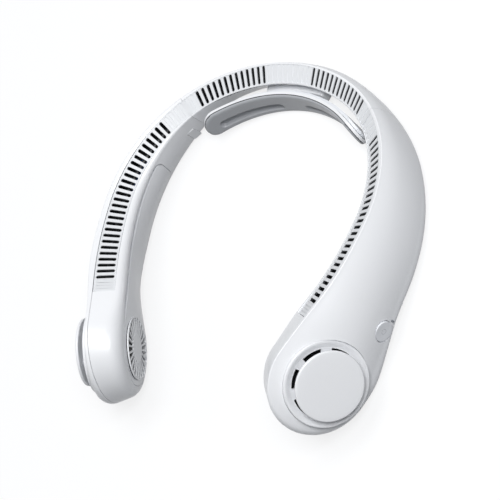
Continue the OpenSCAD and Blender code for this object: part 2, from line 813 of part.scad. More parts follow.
// Strip: a canted plate with round-ended slots across it
function strip_ring(s, half_span) =
    let (h = strip_half(s))
    [for (q = [[-h, -strip_sink], [h, -strip_sink], [h, -strip_sink - strip_t], [-h, -strip_sink - strip_t]])
        on_section(s, [q[0] * cos(rim_cant) - q[1] * sin(rim_cant), q[0] * sin(rim_cant) + q[1] * cos(rim_cant)])];
module strip_plate(from, to) {
    rings = [for (s = stations(from, to)) strip_ring(s)];
    last = (len(rings) - 1) * 4;
    polyhedron(
        points = [for (r = rings) each r],
        faces = concat(
            ring_faces(len(rings), 4),
            [[3, 2, 1], [3, 1, 0], [last, last + 1, last + 2], [last, last + 2, last + 3]]
        ),
        convexity = 8
    );
}
module slot_tool(s, deep) {
    half = slot_half(s) - slot_w / 2;
    at_rim(s)
        translate([0, 0, -strip_sink - deep])
            linear_extrude(height = deep + overrun) {
                translate([0, -half])
                    circle(r = slot_w / 2, $fn = small_fn);
                translate([0, half])
                    circle(r = slot_w / 2, $fn = small_fn);
                translate([-slot_w / 2, -half])
                    square([slot_w, 2 * half]);
            }
}
blank_deep = strip_t / 4;
module arm_strip() {
    difference() {
        strip_plate(seam_s + parting / 2, strip_stop);
        for (i = [0:arm_slots - 1])
            slot_tool(slots_end - i * slot_pitch, strip_t + overrun);
        for (i = [arm_slots:arm_slots + arm_blanks - 1])
            slot_tool(slots_end - i * slot_pitch, blank_deep);
    }
}
module rear_outlet_strip() {
    white_plastic()
        difference() {
            strip_plate(-seam_s + parting / 2, seam_s - parting / 2);
            for (side = [-1, 1], i = [0:nape_slots - 1])
                slot_tool(side * (nape_slot_s + i * slot_pitch), strip_t + overrun);
        }
}
module right_outlet_strip() {
    white_plastic()
        arm_strip();
}
module left_outlet_strip() {
    white_plastic()
        mirror([1, 0, 0])
            arm_strip();
}

// Inner cover: a thin skin over the inner face, between its rim fillet and its bottom fillet
function cover_half(m, out, b, c, r, depth) =
    let (h = half_profile(m, out, b, c, r, norm(c - b) / 2, depth))
    [for (i = [0:face_steps + 1]) h[i]];
function cover_profile(s, depth) =
    let (
        q = corners(s),
        m = inner_mid(s),
        low_r = min(underside_fillet, low_fillet(s / disc_s)),
        top_r = inner_fillet * smooth(inner_fillet_shares, s / disc_s)
    )
    concat(
        reversed(cover_half(m[0], m[1], q[2], q[3], low_r, depth)),
        tail(cover_half(m[0], m[1], q[1], q[0], top_r, depth))
    );
function cover_tip(a, depth) =
    let (low = (1 - cos(a)) / 2)
    cover_half([-disc_depth - disc_crown, 0], [-1, 0], [-disc_depth, tip_inner_r(a)], [0, tip_r(a)],
               inner_fillet + (underside_fillet - inner_fillet) * low, depth);
cover_rings = [for (s = stations(cover_s, disc_s))
    [for (q = concat(cover_profile(s, 0), reversed(cover_profile(s, cover_t)))) on_section(s, q)]];
cover_tips = [for (j = [1:fan_steps - 1])
    let (a = 180 - 180 * j / fan_steps)
    [for (q = concat(tail(cover_tip(a, 0)), tail(cover_tip(a, cover_t)))) on_disc(q, a)]];
grille_top = -disc_depth - disc_crown + cover_t;
module grille() {
    difference() {
        translate([0, 0, grille_top - cover_t])
            cylinder(r = grille_r, h = cover_t, $fn = round_fn);
        for (i = [0:grille_count - 1])
            rotate([0, 0, 360 * (i + 0.5) / grille_count])
                translate([0, 0, grille_top - cover_t - overrun])
                    linear_extrude(height = cover_t + 2 * overrun)
                        polygon([
                            [grille_hub_r, wedge_half(grille_hub_r)],
                            [grille_slot_r, wedge_half(grille_slot_r)],
                            [grille_slot_r, -wedge_half(grille_slot_r)],
                            [grille_hub_r, -wedge_half(grille_hub_r)]
                        ]);
    }
}
grille_slot_r = grille_r - grille_bar;
function wedge_half(r) = PI * r / grille_count - grille_bar / 2;
module inner_cover() {
    difference() {
        wall_sweep(cover_rings, cover_tips);
        at_disc()
            translate([0, 0, -disc_depth - disc_crown - overrun])
                cylinder(r = grille_r, h = cover_t + disc_crown + 2 * overrun, $fn = round_fn);
    }
    at_disc()
        grille();
}
module right_inner_cover() {
    white_plastic()
        inner_cover();
}
module left_inner_cover() {
    white_plastic()
        mirror([1, 0, 0])
            inner_cover();
}

// Intake ring: bevelled edge, recessed floor with curved slots, holes for the cap's screws
intake_turn = 360 / intake_count;
module intake_ring() {
    difference() {
        rotate_extrude($fn = round_fn)
            polygon([
                [0, floor_top - floor_t],
                [ring_r, floor_top - floor_t],
                [ring_r, ring_top - bevel_w / 2],
                [ring_r - ring_lip_share * bevel_w, ring_top],
                [ring_r - bevel_w, ring_top],
                [ring_r - 2 * bevel_w, floor_top],
                [0, floor_top]
            ]);
        for (i = [0:intake_count - 1])
            rotate([0, 0, 90 + i * intake_turn + intake_land / 2])
                translate([0, 0, floor_top - floor_t - overrun])
                    rotate_extrude(angle = intake_turn - intake_land, $fn = round_fn)
                        translate([intake_r - intake_w, 0])
                            square([intake_w, floor_t + 2 * overrun]);
        for (a = post_turns)
            rotate([0, 0, a])
                translate([post_circle_r, 0, floor_top - floor_t - overrun])
                    cylinder(r = cap_screw_r + parting / 2, h = floor_t + 2 * overrun, $fn = small_fn);
    }
}
module right_intake_ring() {
    white_plastic()
        at_disc()
            intake_ring();
}
module left_intake_ring() {
    white_plastic()
        mirror([1, 0, 0])
            at_disc()
                intake_ring();
}

// Disc cap: a thin plate with a rounded edge on three posts
module disc_cap() {
    difference() {
        union() {
            rotate_extrude($fn = round_fn) {
                translate([0, cap_top - cap_t])
                    square([cap_r - cap_edge_r, cap_t]);
                translate([0, cap_top - cap_t])
                    square([cap_r, cap_t - cap_edge_r]);
                translate([cap_r - cap_edge_r, cap_top - cap_edge_r])
                    circle(r = cap_edge_r, $fn = small_fn);
            }
            for (a = post_turns)
                rotate([0, 0, a])
                    translate([post_circle_r, 0, floor_top])
                        cylinder(r = post_r, h = cap_top - cap_t - floor_top + overrun / 2, $fn = small_fn);
        }
        for (a = post_turns)
            rotate([0, 0, a])
                translate([post_circle_r, 0, floor_top - overrun])
                    cylinder(r = cap_screw_r, h = cap_bite + overrun, $fn = small_fn);
    }
}
module cap_screw_set() {
    for (a = post_turns)
        rotate([0, 0, a])
            translate([post_circle_r, 0, floor_top - floor_t - cap_screw_head_t]) {
                cylinder(r = cap_screw_head_r, h = cap_screw_head_t, $fn = small_fn);
                cylinder(r = cap_screw_r, h = cap_screw_head_t + floor_t + cap_bite - parting, $fn = small_fn);
            }
}
module right_disc_cap() {
    white_plastic()
        at_disc()
            disc_cap();
}
module left_disc_cap() {
    white_plastic()
        mirror([1, 0, 0])
            at_disc()
                disc_cap();
}
module both_sides() {
    children();
    mirror([1, 0, 0])
        children();
}
module cap_screws() {
    color("silver")
        both_sides()
            at_disc()
                cap_screw_set();
}

// Fan housing: a plate over the grille with a spider for the motor, and a scroll wall open to the arm
plate_low = -disc_depth + cover_t + parting + wall + seat_gap;
plate_top = plate_low + plate_t;
impeller_top = plate_top + motor_gap + impeller_h;
module fan_housing() {
    scroll_r = impeller_r + scroll_gap;
    difference() {
        union() {
            translate([0, 0, plate_low])
                cylinder(r = scroll_r + parting / 2, h = plate_t, $fn = round_fn);
            rotate([0, 0, 90 + scroll_open / 2 - scroll_open])
                translate([0, 0, plate_top - parting / 2])
                    rotate_extrude(angle = 360 - scroll_open, $fn = round_fn)
                        translate([scroll_r - parting / 2, 0])
                            square([scroll_t, impeller_top - plate_top + parting / 2]);
        }
        for (i = [0:3])
            rotate([0, 0, i * spider_turn + spider_land / 2])
                translate([0, 0, plate_low - overrun])
                    rotate_extrude(angle = spider_turn - spider_land, $fn = round_fn)
                        translate([hub_r + parting, 0])
                            square([scroll_r - plate_lip - hub_r, plate_t + 2 * overrun]);
        translate([0, 0, plate_low - overrun])
            cylinder(r = bearing_r / 2, h = plate_t + 2 * overrun, $fn = small_fn);
    }
}
module right_fan_housing() {
    color("gainsboro")
        at_disc()
            fan_housing();
}
module left_fan_housing() {
    color("gainsboro")
        mirror([1, 0, 0])
            at_disc()
                fan_housing();
}

// Motor, bearings, shaft and impeller, all on the disc's axis
motor_top = plate_top + motor_h;
module motor() {
    difference() {
        translate([0, 0, plate_top])
            cylinder(r = motor_r, h = motor_h, $fn = round_fn);
        translate([0, 0, plate_top - overrun])
            cylinder(r = bearing_r, h = motor_h + 2 * overrun, $fn = small_fn);
    }
}
module bearings() {
    for (z = [plate_top, motor_top - bearing_t])
        translate([0, 0, z])
            difference() {
                cylinder(r = bearing_r, h = bearing_t, $fn = small_fn);
                translate([0, 0, -overrun])
                    cylinder(r = shaft_r + running, h = bearing_t + 2 * overrun, $fn = small_fn);
            }
}
module shaft() {
    translate([0, 0, plate_top + parting])
        cylinder(r = shaft_r, h = impeller_top - plate_top - parting + shaft_over, $fn = small_fn);
}
blade_inner_r = impeller_r - blade_len;
function blade_point(t, side) =
    let (
        r = blade_inner_r + (impeller_r - parting - blade_inner_r) * t,
        a = blade_lean * t * t + side * blade_t / 2 / r * 180 / PI
    )
    [r * cos(a), r * sin(a)];
module impeller() {
    difference() {
        union() {
            translate([0, 0, plate_top + motor_gap])
                cylinder(r = hub_r, h = impeller_h, $fn = round_fn);
            translate([0, 0, impeller_top - hub_wall])
                cylinder(r = blade_inner_r + overrun, h = hub_wall, $fn = round_fn);
            for (i = [0:blade_count - 1])
                rotate([0, 0, 360 * i / blade_count])
                    translate([0, 0, plate_top + motor_gap])
                        linear_extrude(height = impeller_h)
                            polygon(concat(
                                [for (j = [0:blade_steps]) blade_point(j / blade_steps, -1)],
                                [for (j = [blade_steps:-1:0]) blade_point(j / blade_steps, 1)]
                            ));
            translate([0, 0, plate_top + motor_gap + impeller_h / 2 - hub_wall / 2])
                difference() {
                    cylinder(r = impeller_r, h = hub_wall, $fn = round_fn);
                    translate([0, 0, -overrun])
                        cylinder(r = hub_r - hub_wall / 2, h = hub_wall + 2 * overrun, $fn = round_fn);
                }
        }
        translate([0, 0, plate_top])
            cylinder(r = hub_r - hub_wall, h = motor_gap + impeller_h - hub_wall, $fn = round_fn);
        cylinder(r = shaft_r, h = 2 * shaft_r, $fn = small_fn);
        translate([0, 0, impeller_top - 2 * hub_wall])
            cylinder(r = shaft_r, h = 3 * hub_wall, $fn = small_fn);
    }
}
module right_motor() {
    color("dimgray")
        at_disc()
            motor();
}
module left_motor() {
    color("dimgray")
        mirror([1, 0, 0])
            at_disc()
                motor();
}
module right_bearings() {
    color("goldenrod")
        at_disc()
            bearings();
}
module left_bearings() {
    color("goldenrod")
        mirror([1, 0, 0])
            at_disc()
                bearings();
}
module right_shaft() {
    color("silver")
        at_disc()
            shaft();
}
module left_shaft() {
    color("silver")
        mirror([1, 0, 0])
            at_disc()
                shaft();
}
module right_impeller() {
    color("whitesmoke")
        at_disc()
            impeller();
}
module left_impeller() {
    color("whitesmoke")
        mirror([1, 0, 0])
            at_disc()
                impeller();
}

// Battery: a pouch cell standing on the bottom wall, pitched with it
cell_ends = [corners(cell_s - cell_len / 2), corners(cell_s + cell_len / 2)];
cell_pitch = atan((cell_ends[0][3][1] - cell_ends[1][3][1]) / cell_len);
cell_rise = (wall + seat_gap) / cos(face_lean) + cell_t / 2 * tan(face_lean) + cell_lift;
cell_room = min([for (q = cell_ends) norm(q[3] - q[0])]);
cell_w = cell_room - cell_rise - wire_under - wire_r - cell_clear;
module battery() {
    q = corners(cell_s);
    foot = (q[2] + q[3]) / 2;
    at_line(cell_s)
        translate([0, foot[0] - cell_in, foot[1]])
            rotate([0, cell_pitch, 0])
                rotate([face_lean, 0, 0])
                    translate([-cell_len / 2, -cell_t / 2, cell_rise])
                        cube([cell_len, cell_t, cell_w]);
}
module right_battery() {
    color("royalblue")
        battery();
}
module left_battery() {
    color("royalblue")
        mirror([1, 0, 0])
            battery();
}

// Control board with its light and chip, notched for the socket that is let into its lower edge
board_low = usb_mouth + usb_len * board_lap_share;
module control_board() {
    color("seagreen")
        at_button() {
            difference() {
                translate([board_back - board_len / 2, board_low, board_top - board_t])
                    cube([board_len, board_w, board_t]);
                translate([usb_back - usb_w / 2 - usb_gap, usb_mouth, board_top - board_t - overrun])
                    cube([usb_w + 2 * usb_gap, usb_len + usb_gap, board_t + 2 * overrun]);
            }
            translate([light_back - led_w / 2, -light_low - led_w / 2, board_top])
                cube([led_w, led_w, led_t]);
            translate([usb_back - chip_w / 2, board_low + board_w - chip_w - overrun, board_top])
                cube([chip_w, chip_w, chip_t]);
        }
}
module usb_socket() {
    color("silver")
        at_usb()
            difference() {
                translate([0, 0, -usb_len])
                    linear_extrude(height = usb_len)
                        usb_shape(0);
                translate([0, 0, -usb_len + usb_skin])
                    linear_extrude(height = usb_len)
                        usb_shape(-usb_skin);
            }
}
module power_switch() {
    color("black")
        at_button()
            translate([0, 0, board_top]) {
                translate([-switch_w / 2, -switch_w / 2, 0])
                    cube([switch_w, switch_w, switch_t - plunger_h]);
                cylinder(r = plunger_r, h = switch_t, $fn = small_fn);
            }
}
module power_button() {
    skirt_top = -wall - button_rest;
    white_plastic()
        at_button() {
            translate([0, 0, skirt_top - button_skirt])
                cylinder(r = button_r, h = button_rise - skirt_top + button_skirt, $fn = round_fn);
            translate([0, 0, skirt_top - button_skirt])
                cylinder(r = button_r + button_lip, h = button_skirt, $fn = round_fn);
            translate([0, 0, skirt_top - button_skirt - stem_len])
                cylinder(r = stem_r, h = stem_len + button_skirt, $fn = small_fn);
        }
}
module light_guide() {
    color("lightcyan")
        at_button()
            translate([light_back, -light_low, board_top + led_t])
                cylinder(r = light_r, h = -board_top - led_t, $fn = small_fn);
}

// Seam joiner: a tube bent with the band, inside the shells on both sides of the seam
function set_in(q, depth) =
    [for (i = [0:3])
        let (
            u = unit(q[(i + 3) % 4] - q[i]),
            v = unit(q[(i + 1) % 4] - q[i])
        )
        q[i] + unit(u + v) * depth / sqrt((1 - u * v) / 2)];
joiner_depth = max(wall, strip_sink + strip_t) + parting + joiner_gap;
joiner_q = corners(seam_s - joiner_back);
module joiner_turn(q, past) {
    from = nape_turn + (seam_s - joiner_back - nape_len - past) / side_r * 180 / PI;
    swing = (joiner_back + joiner_ahead + 2 * past) / side_r * 180 / PI;
    middle = [side_start[0] - side_r * sin(nape_turn), side_start[1] - side_r * cos(nape_turn)];
    translate(middle)
        rotate([0, 0, 90 - from - swing])
            rotate_extrude(angle = swing, $fn = arc_fn)
                polygon([for (p = q) [side_r + p[0], p[1]]]);
}
module joiner() {
    difference() {
        joiner_turn(set_in(joiner_q, joiner_depth), 0);
        joiner_turn(set_in(joiner_q, joiner_depth + joiner_t), overrun);
        at_plug()
            translate([0, 0, -screw_len - 2 * wall])
                cylinder(r = screw_r + parting / 4, h = screw_len + 2 * wall, $fn = small_fn);
    }
}
module right_seam_joiner() {
    color("gainsboro")
        joiner();
}
module left_seam_joiner() {
    color("gainsboro")
        mirror([1, 0, 0])
            joiner();
}
module seam_screws() {
    color("silver")
        both_sides()
            at_plug() {
                translate([0, 0, -plug_t - parting - screw_head_t])
                    cylinder(r = screw_head_r, h = screw_head_t, $fn = small_fn);
                translate([0, 0, -screw_len])
                    cylinder(r = screw_r, h = screw_len - plug_t - parting, $fn = small_fn);
            }
}
module screw_plugs() {
    white_plastic()
        both_sides()
            at_plug()
                translate([-plug_w / 2, -plug_h / 2, -plug_t])
                    cube([plug_w, plug_h, plug_t]);
}

// Wiring: one round lead from fan to fan, under the outlet strips
function wire_ring(s) =
    [for (i = [0:wire_sides - 1])
        let (a = 360 * i / wire_sides, y = wire_r * cos(a), d = wire_under - wire_r * sin(a))
        on_section(s, [y * cos(rim_cant) + d * sin(rim_cant), y * sin(rim_cant) - d * cos(rim_cant)])];
module wiring_harness() {
    rings = [for (s = stations(-wire_end, wire_end)) wire_ring(s)];
    last = (len(rings) - 1) * wire_sides;
    color([0.2, 0.21, 0.23])
        polyhedron(
            points = [for (r = rings) each r],
            faces = concat(
                [for (f = ring_faces(len(rings), wire_sides)) reversed(f)],
                [[for (i = [0:wire_sides - 1]) i], [for (i = [wire_sides - 1:-1:0]) last + i]]
            ),
            convexity = 8
        );
}

// Neck pad: a bent cushion with a rounded outline, drawn-in edges and two oblong channels in its face.
// Its frame has the face's bend through the origin, z up the pad.
pad_steps = 30;
pad_edge = 2;
pad_edge_share = 0.4;
pad_row_shares = [0, 0.03, 0.1, 0.25, 0.37, 0.42, 0.58, 0.63, 0.9, 0.97, 1];
pad_top_share = 0.66;
channel_from = 8;
channel_to = 47;
channel_low = 2;
channel_soft = 1.2;
pad_gap = 0.1;
module at_pad() {
    translate([0, -pad_reach, -pad_drop])
        rotate([-pad_lean, 0, 0])
            children();
}
// Upper and lower outline at the length a along the bend, set in by an inset
function round_end(a, half_len, r) =
    let (x = max(0, abs(a) - half_len + r)) r - sqrt(max(0, r * r - x * x));
function pad_upper(a, inset) =
    pad_h / 2 - inset - round_end(a, pad_half_len - inset, pad_h * pad_top_share - inset);
function pad_lower(a, inset) =
    -pad_h / 2 + inset + round_end(a, pad_half_len - inset, pad_h * (1 - pad_top_share) - inset);
// A point at length a and height z whose distance in front of the pad's back is deep
function pad_point(a, z, deep) =
    let (r = pad_r + pad_t - deep, turn = a / pad_r * 180 / PI)
    [r * sin(turn), r * cos(turn) - pad_r, z];
function pad_depth(a, z) =
    let (
        near = min(pad_upper(a, 0) - z, z - pad_lower(a, 0), pad_half_len - abs(a)),
        edge = 1 - pow(1 - max(0, min(1, near / pad_edge)), 2),
        along = ease((abs(a) - channel_from) / channel_soft) * ease((channel_to - abs(a)) / channel_soft),
        across = ease((channel_h / 2 + channel_soft / 2 - abs(z + channel_low)) / channel_soft)
    )
    pad_t * (pad_edge_share + (1 - pad_edge_share) * sqrt(edge)) - channel_deep * along * across;
function pad_heights(a) =
    let (
        low = pad_lower(a, 0),
        high = pad_upper(a, 0)
    )
    [for (m = pad_row_shares) low + (high - low) * m];
function pad_ring(a) =
    let (zs = pad_heights(a))
    concat([for (z = zs) pad_point(a, z, pad_depth(a, z))], [for (z = reversed(zs)) pad_point(a, z, 0)]);
module neck_pad() {
    reach = pad_half_len - min_edge;
    rings = [for (i = [-pad_steps / 2:pad_steps / 2]) pad_ring(reach * sin(180 * i / pad_steps))];
    n = len(rings[0]);
    last = (len(rings) - 1) * n;
    color([0.86, 0.87, 0.89])
        at_pad()
            polyhedron(
                points = [for (r = rings) each r],
                faces = concat(ring_faces(len(rings), n), end_faces(0, n, false), end_faces(last, n, true)),
                convexity = 8
            );
}

// Carrier: a bent plate behind the pad with two ears on the pivot pin
carrier_steps = 24;
pivot_back = pad_t + pad_gap + carrier_t + seat_gap + knuckle_r;
pivot_up = -0.2;
ear_from = 6.9;
ear_w = 3;
ear_root_share = 0.67;
ear_root = ear_root_share * carrier_t;
ear_gap = 0.3;
module at_pivot() {
    at_pad()
        translate([0, pivot_back, pivot_up])
            children();
}
module along_x(from, r, length) {
    translate([from, 0, 0])
        rotate([0, 90, 0])
            cylinder(r = r, h = length, $fn = small_fn);
}
function carrier_ring(a) =
    let (low = pad_lower(a, carrier_inset), high = pad_upper(a, carrier_inset))
    [for (q = [[low, -pad_gap], [high, -pad_gap], [high, -pad_gap - carrier_t], [low, -pad_gap - carrier_t]])
        pad_point(a, q[0], q[1])];
module pad_carrier() {
    reach = pad_half_len - carrier_inset - min_edge;
    rings = [for (i = [-carrier_steps / 2:carrier_steps / 2]) carrier_ring(reach * sin(180 * i / carrier_steps))];
    last = (len(rings) - 1) * 4;
    color([0.8, 0.82, 0.85])
        difference() {
            union() {
                at_pad()
                    polyhedron(
                        points = [for (r = rings) each r],
                        faces = concat(
                            ring_faces(len(rings), 4),
                            [[3, 2, 1], [3, 1, 0], [last, last + 1, last + 2], [last, last + 2, last + 3]]
                        ),
                        convexity = 4
                    );
                at_pivot()
                    for (x = [ear_from, -ear_from - ear_w]) {
                        along_x(x, knuckle_r, ear_w);
                        translate([x, -knuckle_r - seat_gap - ear_root, -knuckle_r])
                            cube([ear_w, knuckle_r + seat_gap + ear_root, 2 * knuckle_r]);
                    }
            }
            at_pivot()
                along_x(-ear_from - ear_w - overrun, pin_r + running, 2 * (ear_from + ear_w + overrun));
        }
}

// Pod: fixed to the nape's inner face, with the middle knuckle and pockets for the ears
pod_screw_s = 14;
pod_screw_share = 0.15;
pod_screw_in = 2;
pod_wall = 1.2;
pod_q = corners(0);
pod_out = inner_mid(0)[1];
pod_front = 4.4;
pod_screw_at = lower_point(inner_mid(pod_screw_s), pod_q[2], pod_q[3], low_fillet(0), pod_screw_share);
pod_screw_angle = atan2(-pod_screw_at[1][1], pod_screw_at[1][0]);
module at_pod_screws() {
    for (s = [-pod_screw_s, pod_screw_s])
        at_line(s)
            translate([0, pod_screw_at[0][0], pod_screw_at[0][1]])
                rotate([180 - pod_screw_angle, 0, 0])
                    children();
}
pivot_z = pivot_up * cos(pad_lean) - pivot_back * sin(pad_lean) - pad_drop;
function pod_back(z) =
    pod_q[1] + (pod_q[2] - pod_q[1]) * (z - pod_q[1][1]) / (pod_q[2][1] - pod_q[1][1]);
module ear_pocket(x) {
    r = knuckle_r + ear_gap;
    along_x(x, r, ear_w + 2 * ear_gap);
    translate([x, 0, -r])
        cube([ear_w + 2 * ear_gap, r + pod_front, 2 * r]);
}
module pad_pod() {
    clear = pod_out * (seat_gap + inner_crown * inner_crown_shares[0][1]);
    reach = knuckle_r + ear_gap + pod_wall;
    top = pod_back(pivot_z + reach) + clear;
    low = pod_back(pivot_z - reach) + clear;
    white_plastic()
        difference() {
            union() {
                translate([0, -nape_r, 0])
                    rotate([0, 0, 90 - pod_half_turn])
                        rotate_extrude(angle = 2 * pod_half_turn, $fn = arc_fn)
                            intersection() {
                                translate([nape_r - pod_front, low[1]])
                                    square([2 * pod_front, top[1] - low[1]]);
                                polygon([
                                    [nape_r - 2 * pod_front, low[1]],
                                    [nape_r + low[0], low[1]],
                                    [nape_r + top[0], top[1]],
                                    [nape_r - 2 * pod_front, top[1]]
                                ]);
                            }
                at_pivot()
                    along_x(-ear_from + ear_gap, knuckle_r, 2 * (ear_from - ear_gap));
            }
            at_pivot() {
                along_x(-ear_from - ear_w - ear_gap, pin_r + running, 2 * (ear_from + ear_w + ear_gap));
                for (x = [ear_from - ear_gap, -ear_from - ear_w - ear_gap])
                    ear_pocket(x);
            }
            at_pod_screws()
                translate([0, 0, -overrun])
                    cylinder(r = screw_r + parting / 4, h = pod_screw_in + parting + overrun, $fn = small_fn);
        }
}
module pad_pin() {
    color("silver")
        at_pivot()
            along_x(-ear_from - ear_w, pin_r, 2 * (ear_from + ear_w));
}
module pod_screws() {
    color("silver")
        at_pod_screws() {
            translate([0, 0, -wall - screw_head_t])
                cylinder(r = screw_head_r, h = screw_head_t, $fn = small_fn);
            translate([0, 0, -wall - screw_head_t])
                cylinder(r = screw_r, h = pod_screw_in + wall + screw_head_t, $fn = small_fn);
        }
}
module rear_inner_shell() {
    white_plastic()
        difference() {
            wall_sweep([for (s = stations(-seam_s + parting / 2, seam_s - parting / 2)) inner_ring(s, false)]);
            at_pod_screws()
                translate([0, 0, -2 * wall])
                    cylinder(r = screw_r + parting / 4, h = 4 * wall, $fn = small_fn);
        }
}

stand() rear_outer_shell();
stand() right_outer_shell();
stand() left_outer_shell();
stand() rear_inner_shell();
stand() right_inner_shell();
stand() left_inner_shell();
stand() rear_outlet_strip();
stand() right_outlet_strip();
stand() left_outlet_strip();
stand() right_inner_cover();
stand() left_inner_cover();
stand() right_intake_ring();
stand() left_intake_ring();
stand() right_disc_cap();
stand() left_disc_cap();
stand() cap_screws();
stand() right_fan_housing();
stand() left_fan_housing();
stand() right_motor();
stand() left_motor();
stand() right_bearings();
stand() left_bearings();
stand() right_shaft();
stand() left_shaft();
stand() right_impeller();
stand() left_impeller();
stand() right_battery();
stand() left_battery();
stand() control_board();
stand() usb_socket();
stand() power_switch();
stand() power_button();
stand() light_guide();
stand() right_seam_joiner();
stand() left_seam_joiner();
stand() seam_screws();
stand() screw_plugs();
stand() wiring_harness();
stand() neck_pad();
stand() pad_carrier();
stand() pad_pod();
stand() pad_pin();
stand() pod_screws();
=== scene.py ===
import bpy, bmesh, cmath, math
from mathutils import Matrix, Vector


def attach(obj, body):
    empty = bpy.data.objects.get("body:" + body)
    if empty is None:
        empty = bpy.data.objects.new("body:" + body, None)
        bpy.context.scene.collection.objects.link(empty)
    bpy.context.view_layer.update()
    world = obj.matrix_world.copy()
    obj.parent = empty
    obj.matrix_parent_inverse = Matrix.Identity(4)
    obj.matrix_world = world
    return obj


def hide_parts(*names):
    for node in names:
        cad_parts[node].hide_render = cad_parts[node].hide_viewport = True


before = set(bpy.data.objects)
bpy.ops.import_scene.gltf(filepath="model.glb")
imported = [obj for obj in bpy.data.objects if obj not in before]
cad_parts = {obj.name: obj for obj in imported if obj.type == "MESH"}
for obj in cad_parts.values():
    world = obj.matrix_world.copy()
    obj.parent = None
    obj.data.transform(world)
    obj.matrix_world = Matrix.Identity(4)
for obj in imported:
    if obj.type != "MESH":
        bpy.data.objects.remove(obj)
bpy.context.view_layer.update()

# Camera: a long lens above and in front of the wearer's right arm, rolled a little,
# where the photograph was taken from. Its three directions are in the record's frame.
CAMERA_PLACE = Vector((0.93935, -0.16737, 1.02588))
CAMERA_RIGHT = Vector((0.732502, 0.205094, -0.649136))
CAMERA_UP = Vector((-0.073163, 0.971733, 0.224460))
FOCAL_PIXELS = 2790.58
FRAME_PIXELS = 500
SENSOR = 36

camera_data = bpy.data.cameras.new("photo_camera")
camera_data.sensor_width = SENSOR
camera_data.sensor_fit = "HORIZONTAL"
camera_data.lens = FOCAL_PIXELS / FRAME_PIXELS * SENSOR
camera_data.clip_end = 20
camera = bpy.data.objects.new("photo_camera", camera_data)
bpy.context.scene.collection.objects.link(camera)
camera_back = CAMERA_RIGHT.cross(CAMERA_UP).normalized()
camera.matrix_world = Matrix.Translation(CAMERA_PLACE) @ Matrix(
    (CAMERA_RIGHT.normalized(), CAMERA_UP.normalized(), camera_back)).transposed().to_4x4()
bpy.context.scene.camera = camera


# Studio: a plain pale floor under the fan and soft lamps above it. The floor and the world
# show white to the camera, and the floor keeps the fan's own soft shadow.
FLOOR_WIDTH, FLOOR_TONE, FLOOR_GLOW = 8, (0.2, 0.205, 0.215, 1), 0.8
ROOM_TONE, ROOM_LIGHT = (0.93, 0.96, 1, 1), 0.13


def feed(tree, socket, value):
    """Link an output to the socket, or write the value on it."""
    if isinstance(value, bpy.types.NodeSocket):
        tree.links.new(value, socket)
    else:
        socket.default_value = value


def add(tree, kind, sockets={}, **settings):
    node = tree.nodes.new(kind)
    for key, value in settings.items():
        setattr(node, key, value)
    for key, value in sockets.items():
        feed(tree, node.inputs[key], value)
    return node


def calc(tree, operation, *values):
    return add(tree, "ShaderNodeMath", dict(enumerate(values)), operation=operation).outputs[0]


def new_material(name, sockets={}):
    material = bpy.data.materials.new(name)
    material.use_nodes = True
    shader = material.node_tree.nodes["Principled BSDF"]
    for key, value in sockets.items():
        feed(material.node_tree, shader.inputs[key], value)
    return material, material.node_tree, shader


def show(tree, output, room, seen):
    """One shader lights the room, the other is what the camera sees, also in gloss."""
    path = add(tree, "ShaderNodeLightPath").outputs
    direct = calc(tree, "MAXIMUM", calc(tree, "MAXIMUM", path["Is Camera Ray"], path["Is Glossy Ray"]),
                  path["Is Transmission Ray"])
    pick = add(tree, "ShaderNodeMixShader", {0: direct, 1: room.outputs[0], 2: seen.outputs[0]})
    tree.links.new(pick.outputs[0], tree.nodes[output].inputs["Surface"])


def mesh_of(name, points, faces):
    mesh = bpy.data.meshes.new(name)
    mesh.from_pydata(points, [], faces)
    return mesh


half = FLOOR_WIDTH / 2
floor_mesh = mesh_of("floor", [(x, y, 0) for x, y in ((-half, -half), (half, -half), (half, half), (-half, half))],
                     [(0, 1, 2, 3)])
floor = bpy.data.objects.new("floor", floor_mesh)
bpy.context.scene.collection.objects.link(floor)
floor_paint, tree, shader = new_material("floor_paint", {
    "Base Color": FLOOR_TONE, "Roughness": 1, "Specular IOR Level": 0})
glow = add(tree, "ShaderNodeEmission", {"Strength": FLOOR_GLOW})
show(tree, "Material Output", shader, add(tree, "ShaderNodeAddShader", {0: shader.outputs[0], 1: glow.outputs[0]}))
floor_mesh.materials.append(floor_paint)

world = bpy.data.worlds.new("studio")
bpy.context.scene.world = world
world.use_nodes = True
room = world.node_tree.nodes["Background"]
room.inputs["Color"].default_value = ROOM_TONE
room.inputs["Strength"].default_value = ROOM_LIGHT
show(world.node_tree, "World Output", room, add(world.node_tree, "ShaderNodeBackground"))


def soft_lamp(name, place, aim, width, watts, tone=(1, 1, 1)):
    lamp = bpy.data.lights.new(name, "AREA")
    lamp.size, lamp.energy, lamp.color = width, watts, tone
    item = bpy.data.objects.new(name, lamp)
    bpy.context.scene.collection.objects.link(item)
    item.location = place
    item.rotation_euler = (Vector(aim) - Vector(place)).to_track_quat("-Z", "Y").to_euler()


soft_lamp("top_lamp", (0.12, 0.3, 1.2), (0, 0, 0), 0.6, 6.5, (1, 0.995, 0.98))
soft_lamp("left_lamp", (-1.2, 0.1, 0.9), (0, 0, 0.02), 0.8, 2.4, (0.97, 0.98, 1))
soft_lamp("right_lamp", (1.0, 0.1, 1.4), (0, 0, 0.02), 0.6, 18.5)
bpy.context.scene.view_settings.view_transform = "Standard"


